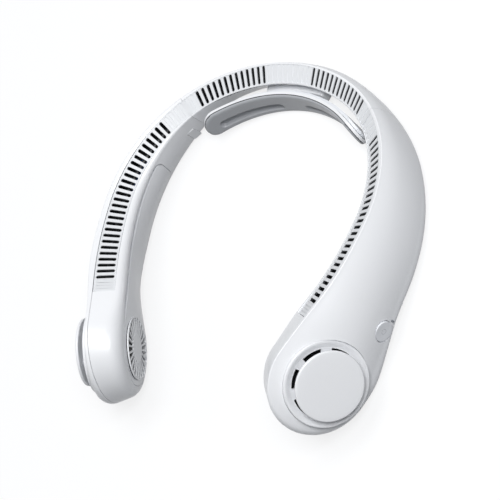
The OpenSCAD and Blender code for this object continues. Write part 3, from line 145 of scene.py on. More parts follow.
# Their inside faces are painted near-black: painted shade where the white plastic's inside lies in shadow.
# Outer shells: three moulded skins of glossy white plastic that form the band's outside,
# one behind the neck and one along each arm round its disc, with a thin wall and a crease at the rim.
# The band follows one line of bends; its cross-section is a canted rim, two leaning faces and a narrow foot.
REST_TILT = math.radians(-13.0168)
REST_SHIFT = (0, 86.3781, 16.1728)
MM = 0.001
NAPE_R, NAPE_TURN, SIDE_R, SIDE_TURN, ARM_R, BEND_LEN, DISC_S, SEAM_S = 97, 26, 68, 70, 159, 170, 198, 66
RIM_CANT, FACE_LEAN = math.radians(26), math.radians(19)
RIM_OUT, RIM_IN, FACE_H, BOTTOM_W = 8, 10.8, 53, 14.8
OUTER_CROWN, INNER_CROWN, INNER_FILLET, BOTTOM_FILLET, UNDERSIDE_FILLET = 4, 2, 8, 7, 5
DISC_R, DISC_INNER_R, DISC_TOP_REACH, DISC_TIP_REACH, DISC_DEPTH, DISC_CROWN = 28, 23.5, 3.4, 1.4, 18, 1.5
DISC_LEAN, DISC_OUT, DISC_DROP, BLEND_LEN = math.radians(21.5), 17.2, 22, 45
WALL, PARTING, CREASE_R, RIM_LIP = 1.8, 0.2, 0.4, 1.5
RIM_OUT_SHARES = ((0, .68), (.15, .74), (.3, .79), (.45, .94), (.66, 1.05), (.86, 1.15), (1, .95))
RIM_IN_SHARES = ((0, .49), (.3, .49), (.4, .56), (.56, .78), (.71, .89), (.86, 1), (1, 1))
FACE_H_SHARES = ((0, .35), (.23, .35), (.45, .57), (.66, .76), (.83, .845), (1, 1))
BOTTOM_W_SHARES = ((0, .6), (.45, 1), (.76, .98), (1, 1))
OUTER_CROWN_SHARES = ((0, .2), (.45, .33), (.76, .78), (.88, 1.2), (1, .93))
INNER_CROWN_SHARES = ((0, .12), (.33, .12), (.43, .6), (.56, 1), (.76, .5), (1, .6))
INNER_FILLET_SHARES = ((0, .08), (.3, .1), (.45, .375), (.66, .875), (1, 1))
BOTTOM_FILLET_SHARES = ((0, .5), (.45, 1), (.7, .75), (.82, .48), (.92, .8), (1, 1))
SLOT_LEN, SLOT_LEN_SHARES = 9.6, ((0, .73), (.2, .73), (.45, .81), (.86, 1), (1, 1))
STRIP_EDGE, STRIP_STOP = 0.9, 178.5
FACE_ROWS, ARC_ROWS, STATION_GAP, FAN_ROWS, MIN_EDGE, ARC_SHARE = 9, 6, 2, 40, 0.06, 0.97
SHELL_BEVEL, SHARP, BEVEL_FROM = 0.15, math.radians(32), math.radians(50)


def placed(x, y, z):
    """A point of the drawing's frame, in mm, as it lies at rest, in metres."""
    c, s = math.cos(REST_TILT), math.sin(REST_TILT)
    return (x * MM, (y * c - z * s + REST_SHIFT[1]) * MM, (y * s + z * c + REST_SHIFT[2]) * MM)


def bend(start, radius, length):
    turn = start[2] + length / radius
    return (start[0] + radius * (math.sin(turn) - math.sin(start[2])),
            start[1] + radius * (math.cos(turn) - math.cos(start[2])), turn)


def band_line(s):
    nape_len = NAPE_R * math.radians(NAPE_TURN)
    side_end = nape_len + SIDE_R * math.radians(SIDE_TURN)
    a, side = abs(s), -1 if s < 0 else 1
    p = bend((0, 0, 0), NAPE_R, min(a, nape_len))
    if a > nape_len:
        p = bend(p, SIDE_R, min(a, side_end) - nape_len)
    if a > side_end:
        p = bend(p, ARM_R, min(a, BEND_LEN) - side_end)
    if a > BEND_LEN:
        p = (p[0] + (a - BEND_LEN) * math.cos(p[2]), p[1] - (a - BEND_LEN) * math.sin(p[2]), p[2])
    return side * p[0], p[1], side * p[2]


def on_section(s, q):
    """q is outwards + up * 1j in the cross-section at s."""
    x, y, turn = band_line(s)
    return placed(x + q.real * math.sin(turn), y + q.real * math.cos(turn), q.imag)


def share(table, x):
    """Smooth reading of a table of shares."""
    if x <= table[0][0]:
        return table[0][1]
    if x >= table[-1][0]:
        return table[-1][1]
    i = max(k for k in range(len(table) - 1) if table[k][0] <= x)

    def slope(k):
        inside = 0 < k < len(table) - 1
        return (table[k + 1][1] - table[k - 1][1]) / (table[k + 1][0] - table[k - 1][0]) if inside else 0
    h = table[i + 1][0] - table[i][0]
    u = (x - table[i][0]) / h
    return (table[i][1] * (1 + 2 * u) * (1 - u) ** 2 + table[i + 1][1] * u * u * (3 - 2 * u)
            + h * slope(i) * u * (1 - u) ** 2 - h * slope(i + 1) * u * u * (1 - u))


def ease(x):
    u = min(max(x, 0), 1)
    return u * u * (3 - 2 * u)


def unit(v):
    return v / abs(v)


def dot(a, b):
    return (a * b.conjugate()).real


DISC_AXIS = cmath.rect(1, DISC_LEAN)
DISC_UP = DISC_AXIS * 1j
DISC_CENTRE = complex(DISC_OUT, -DISC_DROP)


def low_fillet(x):
    return BOTTOM_FILLET * share(BOTTOM_FILLET_SHARES, x)


def fillet_back(x):
    return low_fillet(x) / math.tan(math.pi / 4 - FACE_LEAN / 2)


def disc_blend(s):
    return ease((abs(s) - DISC_S + BLEND_LEN) / BLEND_LEN)


def corners(s):
    """Rim outside, rim inside, foot inside and foot outside of the cross-section at s."""
    x, k = abs(s) / DISC_S, disc_blend(s)
    rim, height = cmath.rect(1, RIM_CANT), FACE_H * share(FACE_H_SHARES, x)
    top_out = RIM_OUT * share(RIM_OUT_SHARES, x) * rim
    top_in = -RIM_IN * share(RIM_IN_SHARES, x) * rim
    foot = top_out + height * complex(math.sin(FACE_LEAN), -math.cos(FACE_LEAN))
    fall = 4 * OUTER_CROWN * share(OUTER_CROWN_SHARES, x) * fillet_back(x) / (height - fillet_back(x))
    arm = (top_out, top_in, foot - BOTTOM_W * share(BOTTOM_W_SHARES, x), foot - fall / math.cos(FACE_LEAN))
    back = DISC_CENTRE - DISC_DEPTH * DISC_AXIS
    disc = (DISC_CENTRE + DISC_R * DISC_UP, back + (DISC_INNER_R + DISC_TOP_REACH) * DISC_UP,
            back - DISC_INNER_R * DISC_UP, DISC_CENTRE - DISC_R * DISC_UP)
    return [a * (1 - k) + d * k for a, d in zip(arm, disc)]


def face_mid(a, b, part, crown, flip):
    out = flip * unit(a - b) * -1j
    return a + (b - a) * part + out * crown, out


def outer_mid(s):
    q, x, k = corners(s), abs(s) / DISC_S, disc_blend(s)
    past = fillet_back(x) / (FACE_H * share(FACE_H_SHARES, x)) * (1 - k)
    crown = OUTER_CROWN * share(OUTER_CROWN_SHARES, x)
    return face_mid(q[0], q[3], (1 - past) / 2, crown * (1 + past), 1)


def inner_mid(s):
    q, k = corners(s), disc_blend(s)
    crown = INNER_CROWN * share(INNER_CROWN_SHARES, abs(s) / DISC_S)
    disc_part = (DISC_INNER_R + DISC_TOP_REACH) / (2 * DISC_INNER_R + DISC_TOP_REACH)
    return face_mid(q[1], q[2], 0.5 + (disc_part - 0.5) * k, crown * (1 - k) + DISC_CROWN * k, -1)


def bulge(middle, edge, out, t):
    """A face's curve from its middle, square to out, to its edge: the point at the share t."""
    return middle + (edge - middle) * t + out * dot(middle - edge, out) * (t - t * t)


def half_profile(mid, b, c, radius, reach, depth):
    """From a face's middle round its corner b to a point that lies reach along the edge to c, depth inside."""
    m, out = mid
    u, v = unit(m + out * dot(b - m, out) - b), unit(c - b)
    d = dot(u, v)
    end = b + v * reach + unit(u - v * d) * depth
    drop = max(0, MIN_EDGE - reach + depth * math.sqrt((1 + d) / (1 - d)))
    corner = b + unit(u + v) * depth / math.sqrt((1 - d) / 2) + u * drop
    w = unit(end - corner)
    d = dot(u, w)
    tan = math.sqrt((1 - d) / (1 + d))
    back = min(max(radius - depth, MIN_EDGE) / tan, abs(end - corner) * ARC_SHARE)
    centre = corner + unit(u + w) * back * math.hypot(1, tan)
    start = corner + u * back - centre
    swing = -math.copysign(math.pi - 2 * math.atan(tan), (u.conjugate() * w).imag)
    bow = [centre + start * cmath.rect(1, swing * i / (ARC_ROWS - 1)) for i in range(ARC_ROWS)]
    middle = m - out * depth
    return [middle, *(bulge(middle, bow[0], out, (i + 1) / (FACE_ROWS + 1)) for i in range(FACE_ROWS)), *bow, end]


def slot_half(s):
    return SLOT_LEN * share(SLOT_LEN_SHARES, abs(s) / DISC_S) / 2


def strip_half(s):
    return slot_half(s) + STRIP_EDGE


def past_strip(s):
    return ease((abs(s) - STRIP_STOP) / (DISC_S - STRIP_STOP))


def outer_halves(s, depth):
    q, mid, k = corners(s), outer_mid(s), past_strip(s)
    lip = (abs(q[0]) - strip_half(min(abs(s), STRIP_STOP)) - PARTING) * (1 - k) + RIM_LIP * k
    return (half_profile(mid, q[0], q[1], CREASE_R, lip, depth),
            half_profile(mid, q[3], q[2], low_fillet(abs(s) / DISC_S), (abs(q[2] - q[3]) - PARTING) / 2, depth))


def tip_corners(a):
    """The disc's two corners at the angle a from its top, as along the axis + radius * 1j, and how low they are."""
    return (complex(0, DISC_R + DISC_TIP_REACH * math.sin(a) ** 2),
            complex(-DISC_DEPTH, DISC_INNER_R + DISC_TOP_REACH * max(0, math.cos(a)) ** 2), (1 - math.cos(a)) / 2)


def outer_tip(a, depth):
    corner, after, low = tip_corners(a)
    low_reach = (abs(after - corner) - PARTING) / 2
    crown = OUTER_CROWN * OUTER_CROWN_SHARES[-1][1]
    return half_profile((complex(crown, 0), 1 + 0j), corner, after, CREASE_R + (BOTTOM_FILLET - CREASE_R) * low,
                        RIM_LIP + (low_reach - RIM_LIP) * low, depth)


def on_disc(q, a):
    x, y, turn = band_line(DISC_S)
    flat = DISC_CENTRE + DISC_AXIS * q.real + DISC_UP * math.cos(a) * q.imag
    ahead = q.imag * math.sin(a)
    return placed(x + flat.real * math.sin(turn) + ahead * math.cos(turn),
                  y + flat.real * math.cos(turn) - ahead * math.sin(turn), flat.imag)


def stations(start, stop):
    count = math.ceil((stop - start) / STATION_GAP)
    return [start + (stop - start) * i / count for i in range(count + 1)]


def wall_ring(s, halves, thick):
    """A wall's cross-section at s: its outside from two half profiles, then its inside."""
    rows = [first[::-1] + second[1:] for first, second in (halves(s, 0), halves(s, thick))]
    return [on_section(s, q) for q in rows[0] + rows[1][::-1]]


def wall_tips(half, thick, way=1):
    """A wall's rings round the disc, from its top down or, with way -1, from below up."""
    turns = [math.pi * j / FAN_ROWS for j in range(1, FAN_ROWS)][::way]
    return [[on_disc(q, a) for depth in (0, thick) for q in half(a, depth)[1:]] for a in turns]


def walled(name, rings, tips=()):
    """A thin wall from rings of outer then inner points, closed at its ends or, with tips, round the disc.
    The faces of its inside get the second material, a near-black painted shade."""
    n = len(rings[0])
    p, last, steps = (n // 2 - 1) // 2, (len(rings) - 1) * n, len(tips) + 1
    quads = [((i * n + j, i * n + (j + 1) % n, (i + 1) * n + (j + 1) % n, (i + 1) * n + j), n // 2 <= j < n - 1)
             for i in range(len(rings) - 1) for j in range(n)]
    quads += [((first + j, first + j + 1, first + n - 2 - j, first + n - 1 - j), False)
              for first in ([0] if tips else [0, last]) for j in range(n // 2 - 1)]

    def at(j, i, inner):
        pole, way = (n - 1 - p, -1) if inner else (p, 1)
        if i == 0 or j == 0:
            return last + pole - way * i
        return last + pole + way * i if j == steps else last + n + (j - 1) * 2 * p + (p if inner else 0) + i - 1
    for j in range(steps if tips else 0):
        for inner in (False, True):
            for i in range(p):
                quad = (at(j, i, inner), at(j + 1, i, inner), at(j + 1, i + 1, inner), at(j, i + 1, inner))
                quads.append((quad if i else quad[:1] + quad[2:], inner))
        quads.append(((at(j, p, False), at(j + 1, p, False), at(j + 1, p, True), at(j, p, True)), False))
    mesh = mesh_of(name, [q for ring in (*rings, *tips) for q in ring], [quad for quad, inner in quads])
    mesh.polygons.foreach_set("material_index", [int(inner) for quad, inner in quads])
    for material in (gloss_white, painted_shade_inside):
        mesh.materials.append(material)
    return cleaned(mesh)


def cleaned(mesh, gap=1e-6, place=None):
    work = bmesh.new()
    work.from_mesh(mesh)
    bmesh.ops.remove_doubles(work, verts=work.verts, dist=gap)
    bmesh.ops.recalc_face_normals(work, faces=work.faces)
    work.to_mesh(mesh)
    work.free()
    if place:
        mesh.transform(place)
    return mesh


def piece(name, mesh, materials, body, node, sharp=SHARP, bevel=0.0):
    item = bpy.data.objects.new(name, mesh)
    bpy.context.scene.collection.objects.link(item)
    kinds = [face.material_index for face in mesh.polygons]
    mesh.materials.clear()
    for material in materials:
        mesh.materials.append(material)
    mesh.polygons.foreach_set("material_index", kinds)
    mesh.shade_smooth()
    mesh.set_sharp_from_angle(angle=sharp)
    if bevel:
        edge = item.modifiers.new("edge", "BEVEL")
        edge.width, edge.segments, edge.limit_method, edge.angle_limit = bevel * MM, 2, "ANGLE", BEVEL_FROM
        edge.use_clamp_overlap = True
    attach(item, body)
    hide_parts(node)
    return item


def mirrored(mesh, name):
    """The same mesh for the other arm."""
    copy = mesh.copy()
    copy.name = name
    copy.transform(Matrix.Diagonal((-1, 1, 1, 1)))
    copy.flip_normals()
    return copy


def both_arms(name, mesh, materials, node, bevel=0.0, left=None):
    """The right arm's piece and the left arm's, its mirror."""
    piece("right_" + name, mesh, materials, "band", "right_" + node, bevel=bevel)
    piece("left_" + name, left or mirrored(mesh, "left_" + name), materials, "band", "left_" + node, bevel=bevel)


def moulded_group():
    """Moulded plastic: a faint clouding of its tone, and the fine waviness and pores of its skin."""
    spots, pore_rough, pore_rise = {"Scale": 22, "Detail": 3}, 0.04, 0.15
    tree = bpy.data.node_groups.new("moulded_skin", "ShaderNodeTree")
    for way, kind, names in (("INPUT", "Color", ("Tone", "Shade")), ("OUTPUT", "Color", ("Color",)),
                             ("INPUT", "Float", ("Smoothness", "Pore Size", "Wave Size")),
                             ("OUTPUT", "Float", ("Roughness", "Height"))):
        for name in names:
            tree.interface.new_socket(name, in_out=way, socket_type="NodeSocket" + kind)
    given, where = add(tree, "NodeGroupInput").outputs, add(tree, "ShaderNodeTexCoord").outputs["Object"]
    cloud, pores, waves = (add(tree, "ShaderNodeTexNoise", {"Vector": where, **own}).outputs["Fac"] for own in (
        spots, {"Scale": given["Pore Size"]}, {"Scale": given["Wave Size"]}))
    tint = add(tree, "ShaderNodeMix", {"Factor": cloud, "A": given["Tone"], "B": given["Shade"]}, data_type="RGBA")
    rough = add(tree, "ShaderNodeMapRange", {"Value": pores, "To Min": -pore_rough, "To Max": pore_rough})
    add(tree, "NodeGroupOutput", {
        "Color": tint.outputs["Result"], "Height": calc(tree, "MULTIPLY_ADD", pores, pore_rise, waves),
        "Roughness": calc(tree, "ADD", given["Smoothness"], rough.outputs["Result"])})
    return tree


MOULDED = moulded_group()


def plastic(name, tone, shade, rough, pores=2600, waves=260, bump=0.00004, own={}):
    """A moulded material. Its own settings are the shader's."""
    material, tree, shader = new_material(name, {"Coat Roughness": 0.12, **own})
    skin = add(tree, "ShaderNodeGroup", {"Tone": (*tone, 1), "Shade": (*shade, 1), "Smoothness": rough,
                                         "Pore Size": pores, "Wave Size": waves}, node_tree=MOULDED).outputs
    feed(tree, shader.inputs["Base Color"], skin["Color"])
    feed(tree, shader.inputs["Roughness"], skin["Roughness"])
    if bump:
        relief = add(tree, "ShaderNodeBump", {"Distance": bump, "Height": skin["Height"]})
        feed(tree, shader.inputs["Normal"], relief.outputs["Normal"])
    return material


gloss_white = plastic("gloss_white", (0.845, 0.858, 0.885), (0.815, 0.83, 0.86), 0.34, own={"Coat Weight": 0.25})
# Painted shade: near-black for the shells' insides and the strips' deep faces, where the white plastic lies in shadow.
painted_shade_inside = plastic("painted_shade_inside", (0.035, 0.037, 0.042), (0.025, 0.027, 0.03), 0.7)
shell_skin = (gloss_white, painted_shade_inside)
ARM_FROM = SEAM_S + PARTING / 2
rear_stations = stations(PARTING / 2 - SEAM_S, SEAM_S - PARTING / 2)
arm_skin = walled("right_outer_skin", [wall_ring(s, outer_halves, WALL) for s in stations(ARM_FROM, DISC_S)],
                  wall_tips(outer_tip, WALL))
rear_skin = walled("rear_outer_skin", [wall_ring(s, outer_halves, WALL) for s in rear_stations])
piece("rear_outer_skin", rear_skin, shell_skin, "band", "rear_outer_shell", bevel=SHELL_BEVEL)


def local(*moves):
    """A placing in mm from turns ("X", angle) and shifts (x, y, z), then the fan's rest, in metres."""
    m = Matrix.Identity(4)
    for move in moves:
        m = m @ (Matrix.Rotation(move[1], 4, move[0]) if isinstance(move[0], str) else Matrix.Translation(move))
    return Matrix.Scale(MM, 4) @ Matrix.Translation(REST_SHIFT) @ Matrix.Rotation(REST_TILT, 4, "X") @ m


def line_moves(s):
    x, y, turn = band_line(s)
    return (x, y, 0), ("Z", -turn)


def lower_point(mid, b, c, radius, part):
    """A point on a face between its middle and its lower fillet, and the face's slope there."""
    h = half_profile(mid, b, c, radius, abs(c - b) / 2, 0)
    run, out = h[FACE_ROWS + 1] - h[0], mid[1]
    way = run - out * dot(run, out) * (1 - 2 * part)
    return bulge(h[0], h[FACE_ROWS + 1], out, part), math.atan2(-way.imag, way.real)


def evaluated(host, *helpers):
    """The mesh that the host's modifiers make. The host and its helpers go."""
    for item in (host, *helpers):
        bpy.context.scene.collection.objects.link(item)
    bpy.context.view_layer.update()
    mesh = bpy.data.meshes.new_from_object(host.evaluated_get(bpy.context.evaluated_depsgraph_get()))
    for item in (host, *helpers):
        bpy.data.objects.remove(item)
    return mesh


def cut(mesh, *tools):
    """The mesh less the tools."""
    host, made = bpy.data.objects.new("host", mesh), [bpy.data.objects.new("tool", tool) for tool in tools]
    for item in made:
        step = host.modifiers.new("cut", "BOOLEAN")
        step.operation, step.solver, step.object = "DIFFERENCE", "EXACT", item
    return evaluated(host, *made)


def loft(name, rings, wrap=False):
    """A closed skin through rings of points. The last ring joins the first, or both ends are flat."""
    n, count = len(rings[0]), len(rings)
    faces = [(i * n + j, i * n + (j + 1) % n, (i + 1) % count * n + (j + 1) % n, (i + 1) % count * n + j)
             for i in range(count if wrap else count - 1) for j in range(n)]
    if not wrap:
        faces += [tuple(range(n)), tuple((count - 1) * n + j for j in reversed(range(n)))]
    return mesh_of(name, [q for ring in rings for q in ring], faces)


WELD, SOFT_STEPS = 1e-4, 5


def lathe(name, outline, steps, place=None):
    """A solid from an outline of (radius, height) points, closed on itself or on the axis."""
    turns = [2 * math.pi * i / steps for i in range(steps)]
    rings = [[(r * math.cos(turn), r * math.sin(turn), z) for r, z in outline] for turn in turns]
    return cleaned(loft(name, rings, wrap=True), WELD, place)


def rod(radius, low, high, steps, place):
    return lathe("rod", [(0, low), (radius, low), (radius, high), (0, high)], steps, place)


def prism(name, outline, low, high, place=None):
    return cleaned(loft(name, [[(x, y, z) for x, y in outline] for z in (low, high)]), WELD, place)


def arc(x, y, radius, start, stop, steps=SOFT_STEPS):
    """Points round (x, y). Its angles are counted in quarter turns."""
    turns = [math.pi / 2 * (start + (stop - start) * i / steps) for i in range(steps + 1)]
    return [(x + radius * math.cos(turn), y + radius * math.sin(turn)) for turn in turns]


AT_DISC = local(*line_moves(DISC_S), (0, DISC_CENTRE.real, DISC_CENTRE.imag), ("X", DISC_LEAN - math.pi / 2),
                ("Z", math.pi))
RING_R, RING_HOLE = 21.55, (-6, 12)
RING_STEPS, BUTTON_STEPS, LIGHT_STEPS, USB_STEPS = 160, 72, 24, 12
BUTTON_S, BUTTON_SHARE, BUTTON_R, BUTTON_GAP, BUTTON_HOLE = 163, 0.8, 5.2, 0.32, (-6, 5)
LIGHT_BACK, LIGHT_LOW, LIGHT_R, LIGHT_GAP = 6.6, 2, 0.55, 0.08
USB_AT, USB_W, USB_T, USB_LEN, USB_GAP, USB_SINK, USB_BACK = -7.5, 8.9, 3.2, 6.8, 0.25, 0.6, 13
button_at, button_angle = lower_point(outer_mid(BUTTON_S), corners(BUTTON_S)[3], corners(BUTTON_S)[2],
                                      low_fillet(BUTTON_S / DISC_S), BUTTON_SHARE)
AT_BUTTON = local(*line_moves(BUTTON_S), (0, button_at.real, button_at.imag), ("X", -button_angle), ("Z", math.pi))
AT_LIGHT = AT_BUTTON @ Matrix.Translation((LIGHT_BACK, -LIGHT_LOW, 0))
face_below = dot(button_at - corners(BUTTON_S)[3], cmath.rect(1, math.pi - button_angle))
usb_lift = (corners(BUTTON_S - USB_BACK)[3] - corners(BUTTON_S)[3]).imag
usb_mouth = -face_below - USB_AT * math.tan(math.pi / 2 - button_angle) + usb_lift + USB_SINK
AT_USB = AT_BUTTON @ Matrix.Translation((USB_BACK, usb_mouth, USB_AT)) @ Matrix.Rotation(math.pi / 2, 4, "X")
usb_half, usb_r = (USB_W - USB_T) / 2, USB_T / 2 + USB_GAP
usb_outline = arc(usb_half, 0, usb_r, -1, 1, USB_STEPS) + arc(-usb_half, 0, usb_r, 1, 3, USB_STEPS)
usb_hole = prism("usb_hole", usb_outline, -USB_LEN - USB_GAP, 2 * WALL, AT_USB)
ring_hole = rod(RING_R + PARTING / 2, *RING_HOLE, RING_STEPS, AT_DISC)
left_skin = mirrored(cut(arm_skin, ring_hole), "left_outer_skin")
right_skin = cut(arm_skin, ring_hole, usb_hole,
                 rod(BUTTON_R + BUTTON_GAP, *BUTTON_HOLE, BUTTON_STEPS, AT_BUTTON),
                 rod(LIGHT_R + LIGHT_GAP, *BUTTON_HOLE, LIGHT_STEPS, AT_LIGHT))
both_arms("outer_skin", right_skin, shell_skin, "outer_shell", SHELL_BEVEL, left_skin)


# Inner shells: the skins towards the neck, of the same moulded plastic, screwed to the outer ones.
# On each arm they have a shallow recess with rounded corners, in which the cover lies flush.
COVER_S, COVER_T, COVER_CORNER, COVER_GAP, CORNER_STEPS = 98, 1.4, 4.5, 0.22, 8
RECESS_BACK, PLAIN_STOP, PLAIN_EDGE, FLOOR_ROWS, EDGE_ROWS = COVER_T + PARTING, COVER_S - 2, 0.6, 12, 3
INNER_BEVEL = 0.12
GRILLE_R, GRILLE_HOLE, GRILLE_STEPS = 16.3, (-24, -12), 96
PLUG_S, PLUG_W, PLUG_H, PLUG_T, PLUG_R, PLUG_GAP = 74, 4.6, 10.4, 0.6, 0.6, 0.1


def edge_share(distance, radius, length, gap):
    """Where along a half face the rounded outline lies that starts distance away, as a share of its length."""
    d = min(max(distance, 0), radius)
    return 1 - (gap + radius - math.sqrt(radius * radius - (radius - d) ** 2)) / length


def recessed(h, out, edge, back):
    """A half profile whose face is set back from its middle to edge, then steps up."""
    start = h[FACE_ROWS + 1]
    return ([bulge(h[0], start, out, edge * i / FLOOR_ROWS) - out * back for i in range(FLOOR_ROWS + 1)]
            + [bulge(h[0], start, out, edge + (1 - edge) * i / EDGE_ROWS) for i in range(EDGE_ROWS)]
            + h[FACE_ROWS + 1:])


def inner_halves(s, depth, closed=False):
    """The low half and the top half, up to the strip or, where the rim is closed past its end, to the outer shell."""
    q, (m, out), x, k = corners(s), inner_mid(s), abs(s) / DISC_S, past_strip(s)
    radius, reach = INNER_FILLET * share(INNER_FILLET_SHARES, x), abs(q[1]) - strip_half(abs(s)) - PARTING
    if closed:
        outer_reach = (abs(q[0]) - strip_half(STRIP_STOP) - PARTING) * (1 - k) + RIM_LIP * k
        reach = abs(q[0] - q[1]) - outer_reach - PARTING
        d = dot(unit(m + out * dot(q[1] - m, out) - q[1]), unit(q[0] - q[1]))
        tight = (abs(q[1]) - strip_half(STRIP_STOP) - PARTING) * ARC_SHARE * math.sqrt((1 - d) / (1 + d))
        radius = min(radius, tight) * (1 - k) + radius * k
    return (half_profile((m, out), q[2], q[3], min(UNDERSIDE_FILLET, low_fillet(x)),
                         (abs(q[2] - q[3]) - PARTING) / 2, depth),
            half_profile((m, out), q[1], q[0], radius, reach, depth))


def arm_ring(s, closed=False, back=0.0):
    """A ring of the arm's skin. Those before the recess have the same rows, but no step."""
    def edge(h):
        past = s - COVER_S + COVER_GAP
        return edge_share(past, COVER_CORNER, abs(h[FACE_ROWS + 1] - h[0]), 0) if s > PLAIN_STOP else PLAIN_EDGE

    def halves(s, depth):
        return [recessed(h, inner_mid(s)[1], edge(h), back) for h in inner_halves(s, depth, closed)]
    return wall_ring(s, halves, WALL)


def disc_face(a):
    """The middle, corner, next corner and fillet of the disc's inner face at the angle a from its top."""
    after, corner, low = tip_corners(a)
    middle = (complex(-DISC_DEPTH - DISC_CROWN, 0), -1 + 0j)
    return middle, corner, after, INNER_FILLET + (UNDERSIDE_FILLET - INNER_FILLET) * low


def inner_tip(a, depth):
    after, corner, low = tip_corners(a)
    edge = abs(after - corner)
    low_reach, top_reach = (edge - PARTING) / 2, edge - RIM_LIP - PARTING
    h = half_profile(*disc_face(a), top_reach + (low_reach - top_reach) * low, depth)
    return recessed(h, -1 + 0j, 1.0, RECESS_BACK)


def from_corner(start, stop):
    """Stations from the start of a rounded corner, close together round it, to stop."""
    turns = [math.pi / 2 * i / CORNER_STEPS for i in range(CORNER_STEPS + 1)]
    corner = [start + COVER_CORNER * (1 - math.cos(turn)) for turn in turns]
    return corner + stations(corner[-1], stop)[1:]


def rounded_box(width, height, radius):
    return [point for sx, sy, turn in ((1, 1, 0), (-1, 1, 1), (-1, -1, 2), (1, -1, 3))
            for point in arc(sx * (width / 2 - radius), sy * (height / 2 - radius), radius, turn, turn + 1)]


arm_rings = [arm_ring(s) for s in (*stations(ARM_FROM, PLAIN_STOP)[:-1], COVER_S - COVER_GAP)]
arm_rings += [arm_ring(s, back=RECESS_BACK) for s in from_corner(COVER_S - COVER_GAP, STRIP_STOP + PARTING)]
arm_rings += [arm_ring(s, True, RECESS_BACK) for s in stations(STRIP_STOP + 2 * PARTING, DISC_S)]
plug_at, plug_angle = lower_point(inner_mid(PLUG_S), corners(PLUG_S)[2], corners(PLUG_S)[3], UNDERSIDE_FILLET / 2, 0.5)
AT_PLUG = local(*line_moves(PLUG_S), (0, plug_at.real, plug_at.imag), ("X", math.pi - plug_angle))
plug_hole = prism("plug_hole", rounded_box(PLUG_W + 2.5 * PLUG_GAP, PLUG_H + 2.5 * PLUG_GAP, PLUG_R + PLUG_GAP),
                  -PLUG_T - PLUG_GAP, WALL + PARTING, AT_PLUG)
arm_inner = cut(walled("right_inner_skin", arm_rings, wall_tips(inner_tip, WALL, -1)),
                rod(GRILLE_R + PARTING, *GRILLE_HOLE, GRILLE_STEPS, AT_DISC), plug_hole)
rear_inner = walled("rear_inner_skin", [wall_ring(s, inner_halves, WALL) for s in rear_stations])
piece("rear_inner_skin", rear_inner, shell_skin, "band", "rear_inner_shell", bevel=INNER_BEVEL)
left_inner = mirrored(arm_inner, "left_inner_skin")
both_arms("inner_skin", cut(arm_inner, usb_hole), shell_skin, "inner_shell", INNER_BEVEL, left_inner)


# Inner covers: a thin skin over each arm's inner face from behind the shoulder to the disc, of the same
# white plastic and clipped into the recess. Round the fan it ends at the grille.
COVER_BEVEL = 0.1


def face_row(mid, b, c, radius, depth, past):
    """Half a row of the cover, past its start and depth inside, from the face's middle to the cover's edge."""
    h = half_profile(mid, b, c, radius, abs(c - b) / 2, 0)
    start, out = h[FACE_ROWS + 1], mid[1]
    edge = edge_share(past, COVER_CORNER, abs(start - h[0]), COVER_GAP)
    return [bulge(h[0], start, out, edge * i / FLOOR_ROWS) - out * depth for i in range(FLOOR_ROWS + 1)]


def cover_halves(s, depth):
    q, mid, x = corners(s), inner_mid(s), s / DISC_S
    return (face_row(mid, q[2], q[3], min(UNDERSIDE_FILLET, low_fillet(x)), depth, s - COVER_S),
            face_row(mid, q[1], q[0], INNER_FILLET * share(INNER_FILLET_SHARES, x), depth, s - COVER_S))


def cover_tip(a, depth):
    return face_row(*disc_face(a), depth, COVER_CORNER)


cover = walled("right_cover", [wall_ring(s, cover_halves, COVER_T) for s in from_corner(COVER_S, DISC_S)],
               wall_tips(cover_tip, COVER_T, -1))
cover = cut(cover, rod(GRILLE_R, *GRILLE_HOLE, GRILLE_STEPS, AT_DISC))
both_arms("cover", cover, shell_skin, "inner_cover", COVER_BEVEL)


# Grilles: one round plate in each cover with a plain hub and 24 slots like spokes, moulded with the cover.
# One tile with its slot is laid round the hub by Geometry Nodes.
GRILLE_COUNT, GRILLE_HUB_R, GRILLE_SLOT_R, GRILLE_BAR, GRILLE_T, GRILLE_LAND = 24, 7.4, 15.8, 1.0, 0.7, 0.2
SPOKE_SOFT, SPOKE_SOFT_FROM, SPOKE_END, SPOKE_ROUND, HUB_ROW, TILE_WELD = 0.16, 0.1, 0.55, 0.7, 3.0, 0.002
SPOKE_ROWS = (0, .01, .03, .06, .12, .3, .5, .7, .86, .93, .965, .985, 1)


